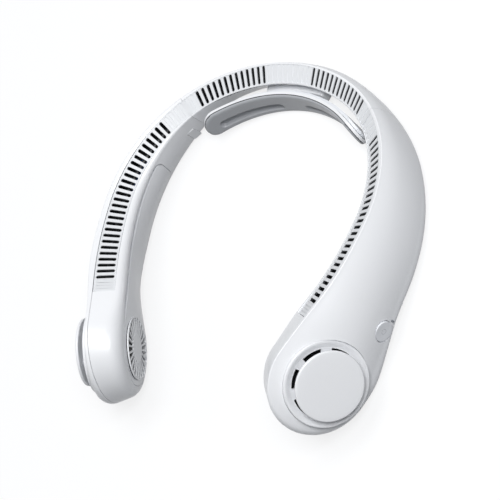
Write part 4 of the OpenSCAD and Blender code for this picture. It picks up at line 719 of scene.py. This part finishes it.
def grille_tile():
    """A slot with its share of the plate: in three layers, four points across on each of a row of radii."""
    step, span = math.pi / GRILLE_COUNT, GRILLE_SLOT_R - GRILLE_HUB_R
    radii = [0.0, HUB_ROW, GRILLE_HUB_R - GRILLE_LAND, *(GRILLE_HUB_R + span * t for t in SPOKE_ROWS),
             GRILLE_SLOT_R + GRILLE_LAND, GRILLE_R]
    points, faces, n = [], [], len(radii) * 4
    for z, widen in ((0.0, SPOKE_SOFT), (-SPOKE_SOFT, 0.0), (-GRILLE_T, 0.0)):
        for r in radii:
            inside, w = min(r - GRILLE_HUB_R, GRILLE_SLOT_R - r), 0.0
            if inside > 1e-6:
                half_w = step * r - GRILLE_BAR / 2
                bow = max(0.0, 1 - inside / max(SPOKE_END, half_w * SPOKE_ROUND))
                w = half_w * math.sqrt(1 - bow ** 2) + widen * min(1, inside / SPOKE_SOFT_FROM)
            a = w / r if w else 0
            points += [(r * math.cos(turn), r * math.sin(turn), z) for turn in (-step, -a, a, step)]

    def quad(start, one, other):
        faces.append((start, start + one, start + one + other, start + other))
    for row in range(len(radii) - 1):
        slotted = GRILLE_HUB_R < (radii[row] + radii[row + 1]) / 2 < GRILLE_SLOT_R
        for layer in (0, 2):
            for col in (0, 2) if slotted else (0, 1, 2):
                quad(layer * n + row * 4 + col, 4, 1)
        for layer in (0, 1) if slotted else ():
            for col in (1, 2):
                quad(layer * n + row * 4 + col, 4, n)
    for layer in (0, 1):
        for col in (0, 1, 2):
            quad(layer * n + n - 4 + col, 1, n)
    return cleaned(mesh_of("grille_tile", points, faces), WELD)


def repeats(name, tile, build, **values):
    """Run a Geometry Nodes tree that repeats the tile, and give back the mesh it makes."""
    tree, sockets = bpy.data.node_groups.new(name, "GeometryNodeTree"), {}
    model = bpy.data.objects.new("model", tile)
    tree.interface.new_socket("Geometry", in_out="OUTPUT", socket_type="NodeSocketGeometry")
    values.update(Tile=model, Skin=gloss_white)
    for key, value in values.items():
        kind = "NodeSocket" + type(value).__name__.capitalize()
        sockets[key] = tree.interface.new_socket(key, in_out="INPUT", socket_type=kind).identifier
    given = add(tree, "NodeGroupInput").outputs
    info = add(tree, "GeometryNodeObjectInfo", {"Object": given["Tile"]})
    put = add(tree, "GeometryNodeInstanceOnPoints", {"Instance": info.outputs["Geometry"], **build(tree, given)})
    real = add(tree, "GeometryNodeRealizeInstances", {0: put.outputs[0]})
    weld = add(tree, "GeometryNodeMergeByDistance", {0: real.outputs[0], "Distance": TILE_WELD})
    coat = add(tree, "GeometryNodeSetMaterial", {0: weld.outputs[0], "Material": given["Skin"]})
    add(tree, "NodeGroupOutput", {0: coat.outputs[0]})
    host = bpy.data.objects.new(name, bpy.data.meshes.new(name))
    step = host.modifiers.new(name, "NODES")
    step.node_group = tree
    for key, value in values.items():
        step[sockets[key]] = value
    return evaluated(host, model)


def round_the_hub(tree, given):
    part = calc(tree, "DIVIDE", add(tree, "GeometryNodeInputIndex").outputs[0], given["Count"])
    angles = add(tree, "ShaderNodeCombineXYZ", {"Z": calc(tree, "MULTIPLY", part, 2 * math.pi)})
    points = add(tree, "GeometryNodePoints", {"Count": given["Count"]})
    return {"Points": points.outputs[0], "Rotation": angles.outputs[0]}


grille = repeats("grille_repeat", grille_tile(), round_the_hub, Count=GRILLE_COUNT)
grille.transform(AT_DISC @ Matrix.Translation((0, 0, -DISC_DEPTH - DISC_CROWN)) @ Matrix.Rotation(math.pi, 4, "X"))
both_arms("grille", cleaned(grille), (gloss_white,), "inner_cover")


# Outlet strips: three thin white bars let into the rim, one at the nape and one along each arm, with the
# slots the air leaves by. Some slots by the seams and at the nape's middle are blind, only marked.
# Their faces deep in the slots and underneath are painted near-black as shade, and their white is toned down, partly
# as painted shade.
SLOT_PITCH, SLOT_W, STRIP_T, STRIP_SINK, BLIND_DEEP, OPEN_STEP = 3.4, 1.7, 1.5, 0.2, 0.3, 0.6
SOFT, TILE_HALF, SLOT_STEPS = 0.14, 4, 6
SLOTS_END, ARM_SLOTS, ARM_BLINDS, NAPE_SLOT_S, NAPE_SLOTS = 170, 27, 4, 16.6, 13
TAIL_STEPS, NAPE_BLINDS, MIDDLE_BLINDS = 4, 2, 9
RUN_WELD, END_NEAR, SHADE_PAINT_DEPTH, AXIS_NEAR = 0.004, 0.01, 0.5, 1e-4


def strip_tile(width, kind):
    """One step of a strip, its middle half TILE_HALF long: open, blind or plain. x along, y across, z up."""
    straight, plate = TILE_HALF - SLOT_W / 2, TILE_HALF + STRIP_EDGE
    top_z, low_z = -STRIP_SINK, -STRIP_SINK - STRIP_T
    right = [*arc(0, -straight, SLOT_W / 2, -1, 0, SLOT_STEPS), *arc(0, straight, SLOT_W / 2, 0, 1, SLOT_STEPS)]
    outline = right + [(-x, y) for x, y in right[-2:0:-1]]
    points, faces, n = [], [], len(outline)

    def grown(x, y, by):
        past = y - max(-straight, min(straight, y))
        d = math.hypot(x, past) or 1
        return x + x / d * by, y + past / d * by

    def ring(z, by):
        points.extend((*grown(x, y, by), z) for x, y in outline)
        return len(points) - n

    def bridge(a, b):
        faces.extend((a + i, a + (i + 1) % n, b + (i + 1) % n, b + i) for i in range(n))

    def sheet(z, by, rim_z):
        """The plate's face round the slot at one height, out to its long edges."""
        inner, outer, x0 = ring(z, by), len(points), width / 2
        points.extend((math.copysign(x0, x), y, z) if min(abs(x), x0) > AXIS_NEAR else (*grown(0, y, by), z)
                      for x, y in outline)
        faces.extend((inner + i, outer + i, outer + (i + 1) % n, inner + (i + 1) % n) for i in range(n))
        for side in (-1, 1):
            e, y0, y1, y2 = len(points), side * TILE_HALF, side * (plate - SOFT), side * plate
            t = outer + next(i for i, (x, y) in enumerate(outline) if abs(x) < AXIS_NEAR and y * side > 0)
            points.extend([(-x0, y0, z), (x0, y0, z), (x0, y1, z), (0, y1, z), (-x0, y1, z),
                           (-x0, y2, rim_z), (0, y2, rim_z), (x0, y2, rim_z)])
            faces.extend([(e, t, e + 3, e + 4), (t, e + 1, e + 2, e + 3),
                          (e + 4, e + 3, e + 6, e + 5), (e + 3, e + 2, e + 7, e + 6)])
        return inner
    loops = [sheet(top_z, SOFT, top_z - SOFT)]
    if kind != "plain":
        loops += [ring(top_z - SOFT, 0), ring(top_z - (BLIND_DEEP if kind == "blind" else OPEN_STEP), 0)]
    if kind == "open":
        loops.append(sheet(low_z, 0, low_z + SOFT))
    for a, b in zip(loops, loops[1:]):
        bridge(a, b)
    if kind != "open":
        faces.append(tuple(range(loops[-1], loops[-1] + n)))
        under = sheet(low_z, 0, low_z + SOFT)
        faces.append(tuple(range(under, under + n)))
    for side in (-1, 1):
        e = len(points)
        points.extend((x, side * plate, z) for x in (-width / 2, 0, width / 2) for z in (top_z - SOFT, low_z + SOFT))
        faces.extend([(e, e + 2, e + 3, e + 1), (e + 2, e + 4, e + 5, e + 3)])
    return mesh_of(kind, points, faces)


def in_a_row(tree, given):
    start, way = (add(tree, "ShaderNodeCombineXYZ", {"X": given[key]}).outputs[0] for key in ("First", "Pitch"))
    line = add(tree, "GeometryNodeMeshLine", {"Count": given["Count"], "Start Location": start, "Offset": way})
    return {"Points": line.outputs[0]}


def bent_strip(name, ends, *runs):
    """Join rows of tiles, each a kind, first place, pitch and count. Close their ends and bend them along the rim."""
    work = bmesh.new()
    for kind, first, pitch, count in runs:
        tile = strip_tile(pitch, kind)
        work.from_mesh(repeats(kind + "_row", tile, in_a_row, First=first, Pitch=pitch, Count=count))
    bmesh.ops.remove_doubles(work, verts=work.verts, dist=RUN_WELD)
    for end in ends:
        loop = [e for e in work.edges if e.is_boundary and all(abs(v.co.x - end) < END_NEAR for v in e.verts)]
        bmesh.ops.contextual_create(work, geom=loop)
    bmesh.ops.recalc_face_normals(work, faces=work.faces)
    # Faces deep in the strip, the slots' lower walls and the underside, get the second material: near-black painted
    # shade.
    for face in work.faces:
        face.material_index = int(face.calc_center_median().z < -STRIP_SINK - SHADE_PAINT_DEPTH)
    for v in work.verts:
        s, y, z = v.co
        y += math.copysign(slot_half(s) - TILE_HALF, y) if abs(y) > AXIS_NEAR else 0
        v.co = on_section(s, complex(y, z) * cmath.rect(1, RIM_CANT))
    mesh = bpy.data.meshes.new(name)
    work.to_mesh(mesh)
    work.free()
    return mesh


first_open = SLOTS_END - (ARM_SLOTS - 1) * SLOT_PITCH
first_blind, tail_end = first_open - ARM_BLINDS * SLOT_PITCH, SLOTS_END + SLOT_PITCH / 2
lead, tail_step = first_blind - SLOT_PITCH / 2 - ARM_FROM, (STRIP_STOP - tail_end) / TAIL_STEPS
arm_strip = bent_strip("right_strip", (ARM_FROM, STRIP_STOP),
                       ("plain", ARM_FROM + lead / 2, lead, 1),
                       ("blind", first_blind, SLOT_PITCH, ARM_BLINDS),
                       ("open", first_open, SLOT_PITCH, ARM_SLOTS),
                       ("plain", tail_end + tail_step / 2, tail_step, TAIL_STEPS))
nape_from, nape_to = NAPE_SLOT_S - SLOT_PITCH / 2, NAPE_SLOT_S + (NAPE_SLOTS - 0.5) * SLOT_PITCH
middle, nape_end = 2 * nape_from / MIDDLE_BLINDS, SEAM_S - PARTING / 2
after = nape_end - nape_to - NAPE_BLINDS * SLOT_PITCH
rear_strip = bent_strip("rear_strip", (-nape_end, nape_end),
                        ("plain", -nape_end + after / 2, after, 1),
                        ("blind", -nape_to - (NAPE_BLINDS - 0.5) * SLOT_PITCH, SLOT_PITCH, NAPE_BLINDS),
                        ("open", -nape_to + SLOT_PITCH / 2, SLOT_PITCH, NAPE_SLOTS),
                        ("blind", -nape_from + middle / 2, middle, MIDDLE_BLINDS),
                        ("open", NAPE_SLOT_S, SLOT_PITCH, NAPE_SLOTS),
                        ("blind", nape_to + SLOT_PITCH / 2, SLOT_PITCH, NAPE_BLINDS),
                        ("plain", nape_end - after / 2, after, 1))
# The strips' plastic is greyer than the shells', partly its own tone and partly painted shade for the strong light on
# their upturned faces.
strip_grey_and_shade = plastic("strip_grey_and_shade", (0.73, 0.745, 0.77), (0.69, 0.71, 0.74), 0.42, own={"Coat Weight": 0.1})
both_arms("strip", arm_strip, (strip_grey_and_shade, painted_shade_inside), "outlet_strip")
piece("rear_strip", rear_strip, (strip_grey_and_shade, painted_shade_inside), "band", "rear_outlet_strip")


# Intake rings: a bevelled white ring round each disc, with a sunken floor and seven curved slots through it
# that the air is drawn in by. It is pressed into the outer shell.
RING_TOP, FLOOR_TOP, FLOOR_T, BEVEL_W, RING_EDGE, RING_BEVEL = 3.3, 2.5, 1.5, 1.2, 0.5, 0.12
SLOPE_IN, SLOPE_DROP, SLOPE_FOOT, SLOPE_RISE, SLOPE_END = 0.3, 0.08, 2.6 * BEVEL_W, 0.12, 3 * BEVEL_W
INTAKE_COUNT, INTAKE_R, INTAKE_W, INTAKE_LAND, INTAKE_SPARE, INTAKE_STEPS = 7, 17.5, 3.4, math.radians(18), 1, 14
ring_outline = [
    (0, FLOOR_TOP - FLOOR_T), (RING_R, FLOOR_TOP - FLOOR_T),
    *arc(RING_R - RING_EDGE, RING_TOP - RING_EDGE, RING_EDGE, 0, 1),
    (RING_R - BEVEL_W, RING_TOP), (RING_R - BEVEL_W - SLOPE_IN, RING_TOP - SLOPE_DROP),
    (RING_R - SLOPE_FOOT, FLOOR_TOP + SLOPE_RISE), (RING_R - SLOPE_END, FLOOR_TOP), (0, FLOOR_TOP)]
land = INTAKE_LAND / (math.pi / 2)
slots = []
for i in range(INTAKE_COUNT):
    start, stop = 1 + 4 * i / INTAKE_COUNT + land / 2, 1 + 4 * (i + 1) / INTAKE_COUNT - land / 2
    sector = [*arc(0, 0, INTAKE_R, start, stop, INTAKE_STEPS),
              *arc(0, 0, INTAKE_R - INTAKE_W, stop, start, INTAKE_STEPS)]
    slots.append(prism("slot", sector, FLOOR_TOP - FLOOR_T - INTAKE_SPARE, FLOOR_TOP + INTAKE_SPARE))
ring_mesh = cut(lathe("intake_ring", ring_outline, RING_STEPS), *slots)
ring_mesh.transform(AT_DISC)
both_arms("ring", ring_mesh, (gloss_white,), "intake_ring", RING_BEVEL)


# Disc caps: a round white plate with a soft edge in front of each intake, on three posts screwed from behind.
CAP_R, CAP_T, CAP_TOP, CAP_EDGE, CAP_UNDER, CAP_DOME, CAP_EDGE_STEPS = 17.4, 1.8, 8.6, 0.8, 0.3, 0.25, 7
POST_CIRCLE, POST_R, POST_TURNS, POST_FOOT, POST_SINK, POST_STEPS = 9.5, 1.8, (30, 150, 270), 2, 0.2, 32


def joined(mesh, *others):
    """The mesh with the others in it."""
    work = bmesh.new()
    for part in (mesh, *others):
        work.from_mesh(part)
    work.to_mesh(mesh)
    work.free()
    return mesh


cap_low = CAP_TOP - CAP_T
cap_outline = [(0, cap_low), (CAP_R - CAP_UNDER, cap_low), (CAP_R, cap_low + CAP_UNDER),
               *arc(CAP_R - CAP_EDGE, CAP_TOP - CAP_EDGE - CAP_DOME, CAP_EDGE, 0, 1, CAP_EDGE_STEPS),
               *((CAP_R * t, CAP_TOP - CAP_DOME * t ** 4) for t in (0.9, 0.8, 0.6, 0.4, 0.2, 0))]
posts = [rod(POST_R, POST_FOOT, cap_low + POST_SINK, POST_STEPS, AT_DISC @ Matrix.Translation(
    (POST_CIRCLE * math.cos(a), POST_CIRCLE * math.sin(a), 0))) for a in map(math.radians, POST_TURNS)]
cap_mesh = joined(lathe("disc_cap", cap_outline, RING_STEPS, AT_DISC), *posts)
both_arms("cap", cap_mesh, (gloss_white,), "disc_cap")


# Power button: a round white key in the right arm's outer face, level with it but for a soft edge, with a faint
# power symbol printed on it. It slides in and presses the switch.
BUTTON_RISE, BUTTON_REST, BUTTON_SKIRT, BUTTON_LIP, STEM_R, STEM_LEN = 0.3, 1.1, 0.7, 0.5, 1.6, 0.4
BUTTON_EDGE, BUTTON_DISH, BUTTON_DISH_R, KEY_STEPS = 0.3, 0.12, 0.85, 96
SIGN_R, SIGN_LINE, SIGN_OPEN, BAR_AT, BAR_LEN = 0.25, 0.03, 1.6, 0.21, 0.12
SIGN_SHOW, SIGN_TONE = 0.45, (0.32, 0.34, 0.37, 1)
skirt_top = -WALL - BUTTON_REST
low = skirt_top - BUTTON_SKIRT
key_outline = [(0, low - STEM_LEN), (STEM_R, low - STEM_LEN), (STEM_R, low), (BUTTON_R + BUTTON_LIP, low),
               (BUTTON_R + BUTTON_LIP, skirt_top), (BUTTON_R, skirt_top),
               *arc(BUTTON_R - BUTTON_EDGE, BUTTON_RISE - BUTTON_EDGE, BUTTON_EDGE, 0, 1),
               *((BUTTON_R * t, BUTTON_RISE - BUTTON_DISH * (1 - (t / BUTTON_DISH_R) ** 2))
                 for t in (BUTTON_DISH_R, 0.65, 0.45, 0.2, 0))]
key_mesh = lathe("power_key", key_outline, KEY_STEPS)
key_map = key_mesh.uv_layers.new(name="symbol")
for loop in key_mesh.loops:
    x, y, z = key_mesh.vertices[loop.vertex_index].co
    key_map.data[loop.index].uv = (x / BUTTON_R, y / BUTTON_R)
key_mesh.transform(AT_BUTTON)
key_white = plastic("key_white", (0.8, 0.82, 0.86), (0.78, 0.8, 0.84), 0.4, own={"Coat Weight": 0.2})
tree = key_white.node_tree


def sums(operation, *values):
    return calc(tree, operation, *values)


def within(value, middle, reach):
    return sums("LESS_THAN", sums("ABSOLUTE", sums("SUBTRACT", value, middle)), reach)


on_key = add(tree, "ShaderNodeUVMap", uv_map="symbol").outputs[0]
split = add(tree, "ShaderNodeSeparateXYZ", {0: on_key}).outputs
u, v = split["X"], split["Y"]
radius = sums("SQRT", sums("ADD", sums("MULTIPLY", u, u), sums("MULTIPLY", v, v)))
gap_side = sums("GREATER_THAN", sums("SUBTRACT", v, sums("MULTIPLY", sums("ABSOLUTE", u), SIGN_OPEN)), 0.0)
bow = sums("MULTIPLY", within(radius, SIGN_R, SIGN_LINE), sums("SUBTRACT", 1.0, gap_side))
bar = sums("MULTIPLY", within(u, 0.0, SIGN_LINE), within(v, BAR_AT, BAR_LEN))
paint = tree.nodes["Principled BSDF"].inputs["Base Color"]
ink = add(tree, "ShaderNodeMix", {"Factor": sums("MULTIPLY", sums("MAXIMUM", bow, bar), SIGN_SHOW),
                                  "A": paint.links[0].from_socket, "B": SIGN_TONE}, data_type="RGBA")
feed(tree, paint, ink.outputs["Result"])
piece("power_key", key_mesh, (key_white,), "button", "power_button")


# Status light: the smoked end of a clear rod beside the button, over the lamp on the board.
LIGHT_OUTLINE = [(0, -5), (LIGHT_R, -5), (LIGHT_R, -0.2), (LIGHT_R * 0.7, -0.06), (0, -0.03)]
smoke = new_material("smoked_light", {"Base Color": (0.16, 0.17, 0.19, 1), "Roughness": 0.2})[0]
piece("light_rod", lathe("light_rod", LIGHT_OUTLINE, LIGHT_STEPS, AT_LIGHT), (smoke,), "band", "light_guide")


# Screw plugs: two small white plates with rounded corners that hide the seam's screws.
PLUG_BEVEL = 0.1
plug_mesh = prism("right_plug", rounded_box(PLUG_W, PLUG_H, PLUG_R), -PLUG_T, 0.0, AT_PLUG)
joined(plug_mesh, mirrored(plug_mesh, "left_plug"))
piece("plugs", plug_mesh, (gloss_white,), "band", "screw_plugs", bevel=PLUG_BEVEL)


# Neck pad: a bent cushion of soft grey silicone with two oblong channels, seated in a thin lighter rim.
# The groove inside the rim is painted near-black as shade, and the silicone's grey is partly painted shade.
# It swings a few degrees on the pin behind it.
PAD_R, PAD_HALF_LEN, PAD_H, PAD_T, PAD_REACH, PAD_DROP, PAD_LEAN = 79, 55.5, 15.4, 3, 11.9, 11, math.radians(2.4)
PAD_TOP_SHARE, PAD_EDGE, PAD_EDGE_SHARE, PAD_SHARP = 0.66, 2, 0.4, math.radians(75)
CHANNEL_FROM, CHANNEL_TO, CHANNEL_LOW, CHANNEL_H, CHANNEL_DEEP, CHANNEL_SOFT = 8, 47, 2, 4.4, 2.3, 0.6
RIM_W, GROOVE_W, GROOVE_DEEP = 0.25, 0.3, 0.6
PAD_COLS, PAD_ROWS, PAD_END, END_CLOSER, EDGE_CLOSER = 360, 72, 0.06, 0.35, 0.5
AT_PAD = local((0, -PAD_REACH, -PAD_DROP), ("X", -PAD_LEAN))


def round_end(a, r):
    x = max(0, abs(a) - PAD_HALF_LEN + r)
    return r - math.sqrt(max(0, r * r - x * x))


def pad_span(a):
    return (-PAD_H / 2 + round_end(a, PAD_H * (1 - PAD_TOP_SHARE)), PAD_H / 2 - round_end(a, PAD_H * PAD_TOP_SHARE))


def pad_point(a, z, deep):
    r, turn = PAD_R + PAD_T - deep, a / PAD_R
    return r * math.sin(turn), r * math.cos(turn) - PAD_R, z


def pad_near(a, z):
    """Distance of a place on the pad to its outline, near enough."""
    r = PAD_H * (PAD_TOP_SHARE if z > -PAD_H / 2 + PAD_H * (1 - PAD_TOP_SHARE) else 1 - PAD_TOP_SHARE)
    x = max(0, abs(a) - PAD_HALF_LEN + r)
    zc = PAD_H / 2 - r if z > PAD_H / 2 - r else (-PAD_H / 2 + r if z < -PAD_H / 2 + r else z)
    if x == 0:
        return min(PAD_H / 2 - z, z + PAD_H / 2)
    return r - math.hypot(x, z - zc)


def pad_depth(a, z):
    near = max(0, pad_near(a, z))
    edge = 1 - (1 - min(1, near / PAD_EDGE)) ** 2
    half = CHANNEL_H / 2
    along = max(CHANNEL_FROM + half - abs(a), abs(a) - CHANNEL_TO + half, 0)
    far = math.hypot(along, z + CHANNEL_LOW)
    trough = ease((half + CHANNEL_SOFT / 2 - far) / CHANNEL_SOFT)
    groove = max(0, 1 - abs(near - RIM_W) / GROOVE_W) * GROOVE_DEEP
    return PAD_T * (PAD_EDGE_SHARE + (1 - PAD_EDGE_SHARE) * math.sqrt(edge)) - CHANNEL_DEEP * trough - groove


rings, marks, pad_reach = [], [], PAD_HALF_LEN - PAD_END
for i in range(PAD_COLS + 1):
    part = i / PAD_COLS
    a = pad_reach * (END_CLOSER * math.sin(math.pi * (part - 0.5)) + (1 - END_CLOSER) * (2 * part - 1))
    lo, hi = pad_span(a)
    parts = [(j / PAD_ROWS, (1 - math.cos(math.pi * j / PAD_ROWS)) / 2) for j in range(PAD_ROWS + 1)]
    zs = [lo + (hi - lo) * (even * (1 - EDGE_CLOSER) + closer * EDGE_CLOSER) for even, closer in parts]
    rings.append([pad_point(a, z, pad_depth(a, z)) for z in zs] + [pad_point(a, z, 0) for z in zs[::-1]])
    marks.append([pad_near(a, z) for z in zs])
# Faces on the rim get the white plastic, and faces in the groove inside it get the near-black painted shade.
rim_and_groove_shade = []
for i in range(PAD_COLS):
    for j in range(len(rings[0])):
        near = (marks[i][j] + marks[i + 1][j + 1]) / 2 if j < PAD_ROWS else 0
        rim_and_groove_shade.append(1 if near < RIM_W - GROOVE_W / 2 else 2 if near < RIM_W + GROOVE_W / 2 else 0)
pad_mesh = loft("neck_pad", rings)
pad_mesh.polygons.foreach_set("material_index", rim_and_groove_shade + [1, 1])
cleaned(pad_mesh, WELD, AT_PAD)
# The pad's grey is partly the silicone's own tone and partly painted shade for the dim light on its face.
silicone = plastic("grey_silicone_and_shade", (0.29, 0.302, 0.325), (0.44, 0.455, 0.48), 0.42, 1800, bump=0.00006,
                   own={"Sheen Weight": 0.15})
# Painted shade for the groove round the pad.
painted_groove_shade = plastic("painted_groove_shade", (0.05, 0.053, 0.06), (0.04, 0.043, 0.05), 0.6)
pad_skins = (silicone, gloss_white, painted_groove_shade)
pad_item = piece("neck_pad_skin", pad_mesh, pad_skins, "pad", "neck_pad", PAD_SHARP)


# Pod: a white block with soft edges on the nape's inner face, which holds the pad's hinge pin in its middle
# knuckle; beside the knuckle it has two pockets for the carrier's ears.
PIVOT_BACK, PIVOT_UP, KNUCKLE_R, KNUCKLE_EDGE, EAR_FROM, EAR_W, EAR_GAP = 7.0, -0.2, 2.1, 0.2, 6.9, 3, 0.3
POD_HALF_TURN, POD_FRONT, POD_WALL, POD_TOP, POD_EDGE, POD_STEPS = math.radians(12), 5.6, 1.2, 0.5, 1.0, 40
POD_SINK, POD_SPARE, POCKET_DEEP, POCKET_STEPS, KNUCKLE_STEPS = 0.54, 0.02, 6.8, 16, 40
pivot_z = PIVOT_UP * math.cos(PAD_LEAN) - PIVOT_BACK * math.sin(PAD_LEAN) - PAD_DROP
pocket_r = KNUCKLE_R + EAR_GAP
pod_low, pod_high = pivot_z - pocket_r - POD_WALL, pivot_z + pocket_r + POD_TOP


def pod_back(z):
    q, out = corners(0), inner_mid(0)[1]
    return (q[1] + (q[2] - q[1]) * (z - q[1].imag) / (q[2] - q[1]).imag + out * POD_SINK).real


pod_rings = []
for i in range(POD_STEPS + 1):
    turn = POD_HALF_TURN * math.sin(math.pi * (i / POD_STEPS - 0.5))
    past = max(0.0, (abs(turn) - POD_HALF_TURN) * NAPE_R + POD_EDGE)
    end = POD_EDGE - math.sqrt(max(0.0, POD_EDGE ** 2 - past ** 2))
    x, low, high = end - POD_FRONT + POD_EDGE, pod_low + end, pod_high - end
    section = [(pod_back(pod_low), low), *arc(x, low + POD_EDGE, POD_EDGE, -1, -2),
               *arc(x, high - POD_EDGE, POD_EDGE, 2, 1)]
    section = [(min(x, pod_back(z) - POD_SPARE), z) for x, z in section] + [(pod_back(high), high)]
    pod_rings.append([((NAPE_R + x) * math.sin(turn), (NAPE_R + x) * math.cos(turn) - NAPE_R, z)
                      for x, z in section])
AT_PIVOT = AT_PAD @ Matrix.Translation((0, PIVOT_BACK, PIVOT_UP))
pocket_outline = arc(0, 0, pocket_r, 1, 3, POCKET_STEPS) + [(POCKET_DEEP, -pocket_r), (POCKET_DEEP, pocket_r)]
pockets = [prism("pocket", pocket_outline, 0, EAR_W + 2 * EAR_GAP,
                 AT_PIVOT @ Matrix(((0, 0, 1, x), (1, 0, 0, 0), (0, 1, 0, 0), (0, 0, 0, 1))))
           for x in (EAR_FROM - EAR_GAP, -EAR_FROM - EAR_W - EAR_GAP)]
side, soft_r = EAR_FROM - EAR_GAP, KNUCKLE_R - KNUCKLE_EDGE
knuckle_outline = [(0, -side), (soft_r, -side), (KNUCKLE_R, -side + KNUCKLE_EDGE),
                   (KNUCKLE_R, side - KNUCKLE_EDGE), (soft_r, side), (0, side)]
knuckle = lathe("knuckle", knuckle_outline, KNUCKLE_STEPS, AT_PIVOT @ Matrix.Rotation(math.pi / 2, 4, "Y"))
pod_mesh = joined(cut(cleaned(loft("pod", pod_rings), WELD, local()), *pockets), knuckle)
piece("pod", pod_mesh, (gloss_white,), "band", "pad_pod")


# Inner works and what else is kept from the drawing: each with its own plain material.
METAL_SHADE, METAL_PORES, METAL_WAVES = 0.92, 3000, 400


def metal(name, tone, rough):
    shade = [METAL_SHADE * c for c in tone]
    return plastic(name, tone, shade, rough, METAL_PORES, METAL_WAVES, 0, {"Metallic": 1})


# Near-black plastic for the works inside, partly their own colour and partly painted shade for the dark interior seen
# through the grille.
dark_plastic_and_shade = plastic("dark_plastic_and_shade", (0.022, 0.024, 0.028), (0.016, 0.018, 0.022), 0.5)
carrier_plastic = plastic("carrier_plastic", (0.76, 0.78, 0.82), (0.72, 0.745, 0.78), 0.42)


def both(*names):
    return [side + name for name in names for side in ("right_", "left_")]


kept = {
    carrier_plastic: ["pad_carrier"],
    dark_plastic_and_shade: ["power_switch", "wiring_harness", *both("fan_housing", "impeller", "seam_joiner")],
    metal("brushed_steel", (0.62, 0.63, 0.65), 0.3): ["cap_screws", "seam_screws", "pod_screws", "pad_pin",
                                                      "usb_socket", *both("shaft")],
    metal("can_steel", (0.4, 0.41, 0.43), 0.38): both("motor"),
    metal("sintered_brass", (0.62, 0.45, 0.2), 0.4): both("bearings"),
    plastic("cell_wrap", (0.05, 0.12, 0.35), (0.04, 0.1, 0.3), 0.4): both("battery"),
    plastic("board_green", (0.02, 0.14, 0.07), (0.015, 0.1, 0.05), 0.45): ["control_board"],
}
for material, names in kept.items():
    for name in names:
        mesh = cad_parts[name].data
        mesh.materials.clear()
        mesh.materials.append(material)
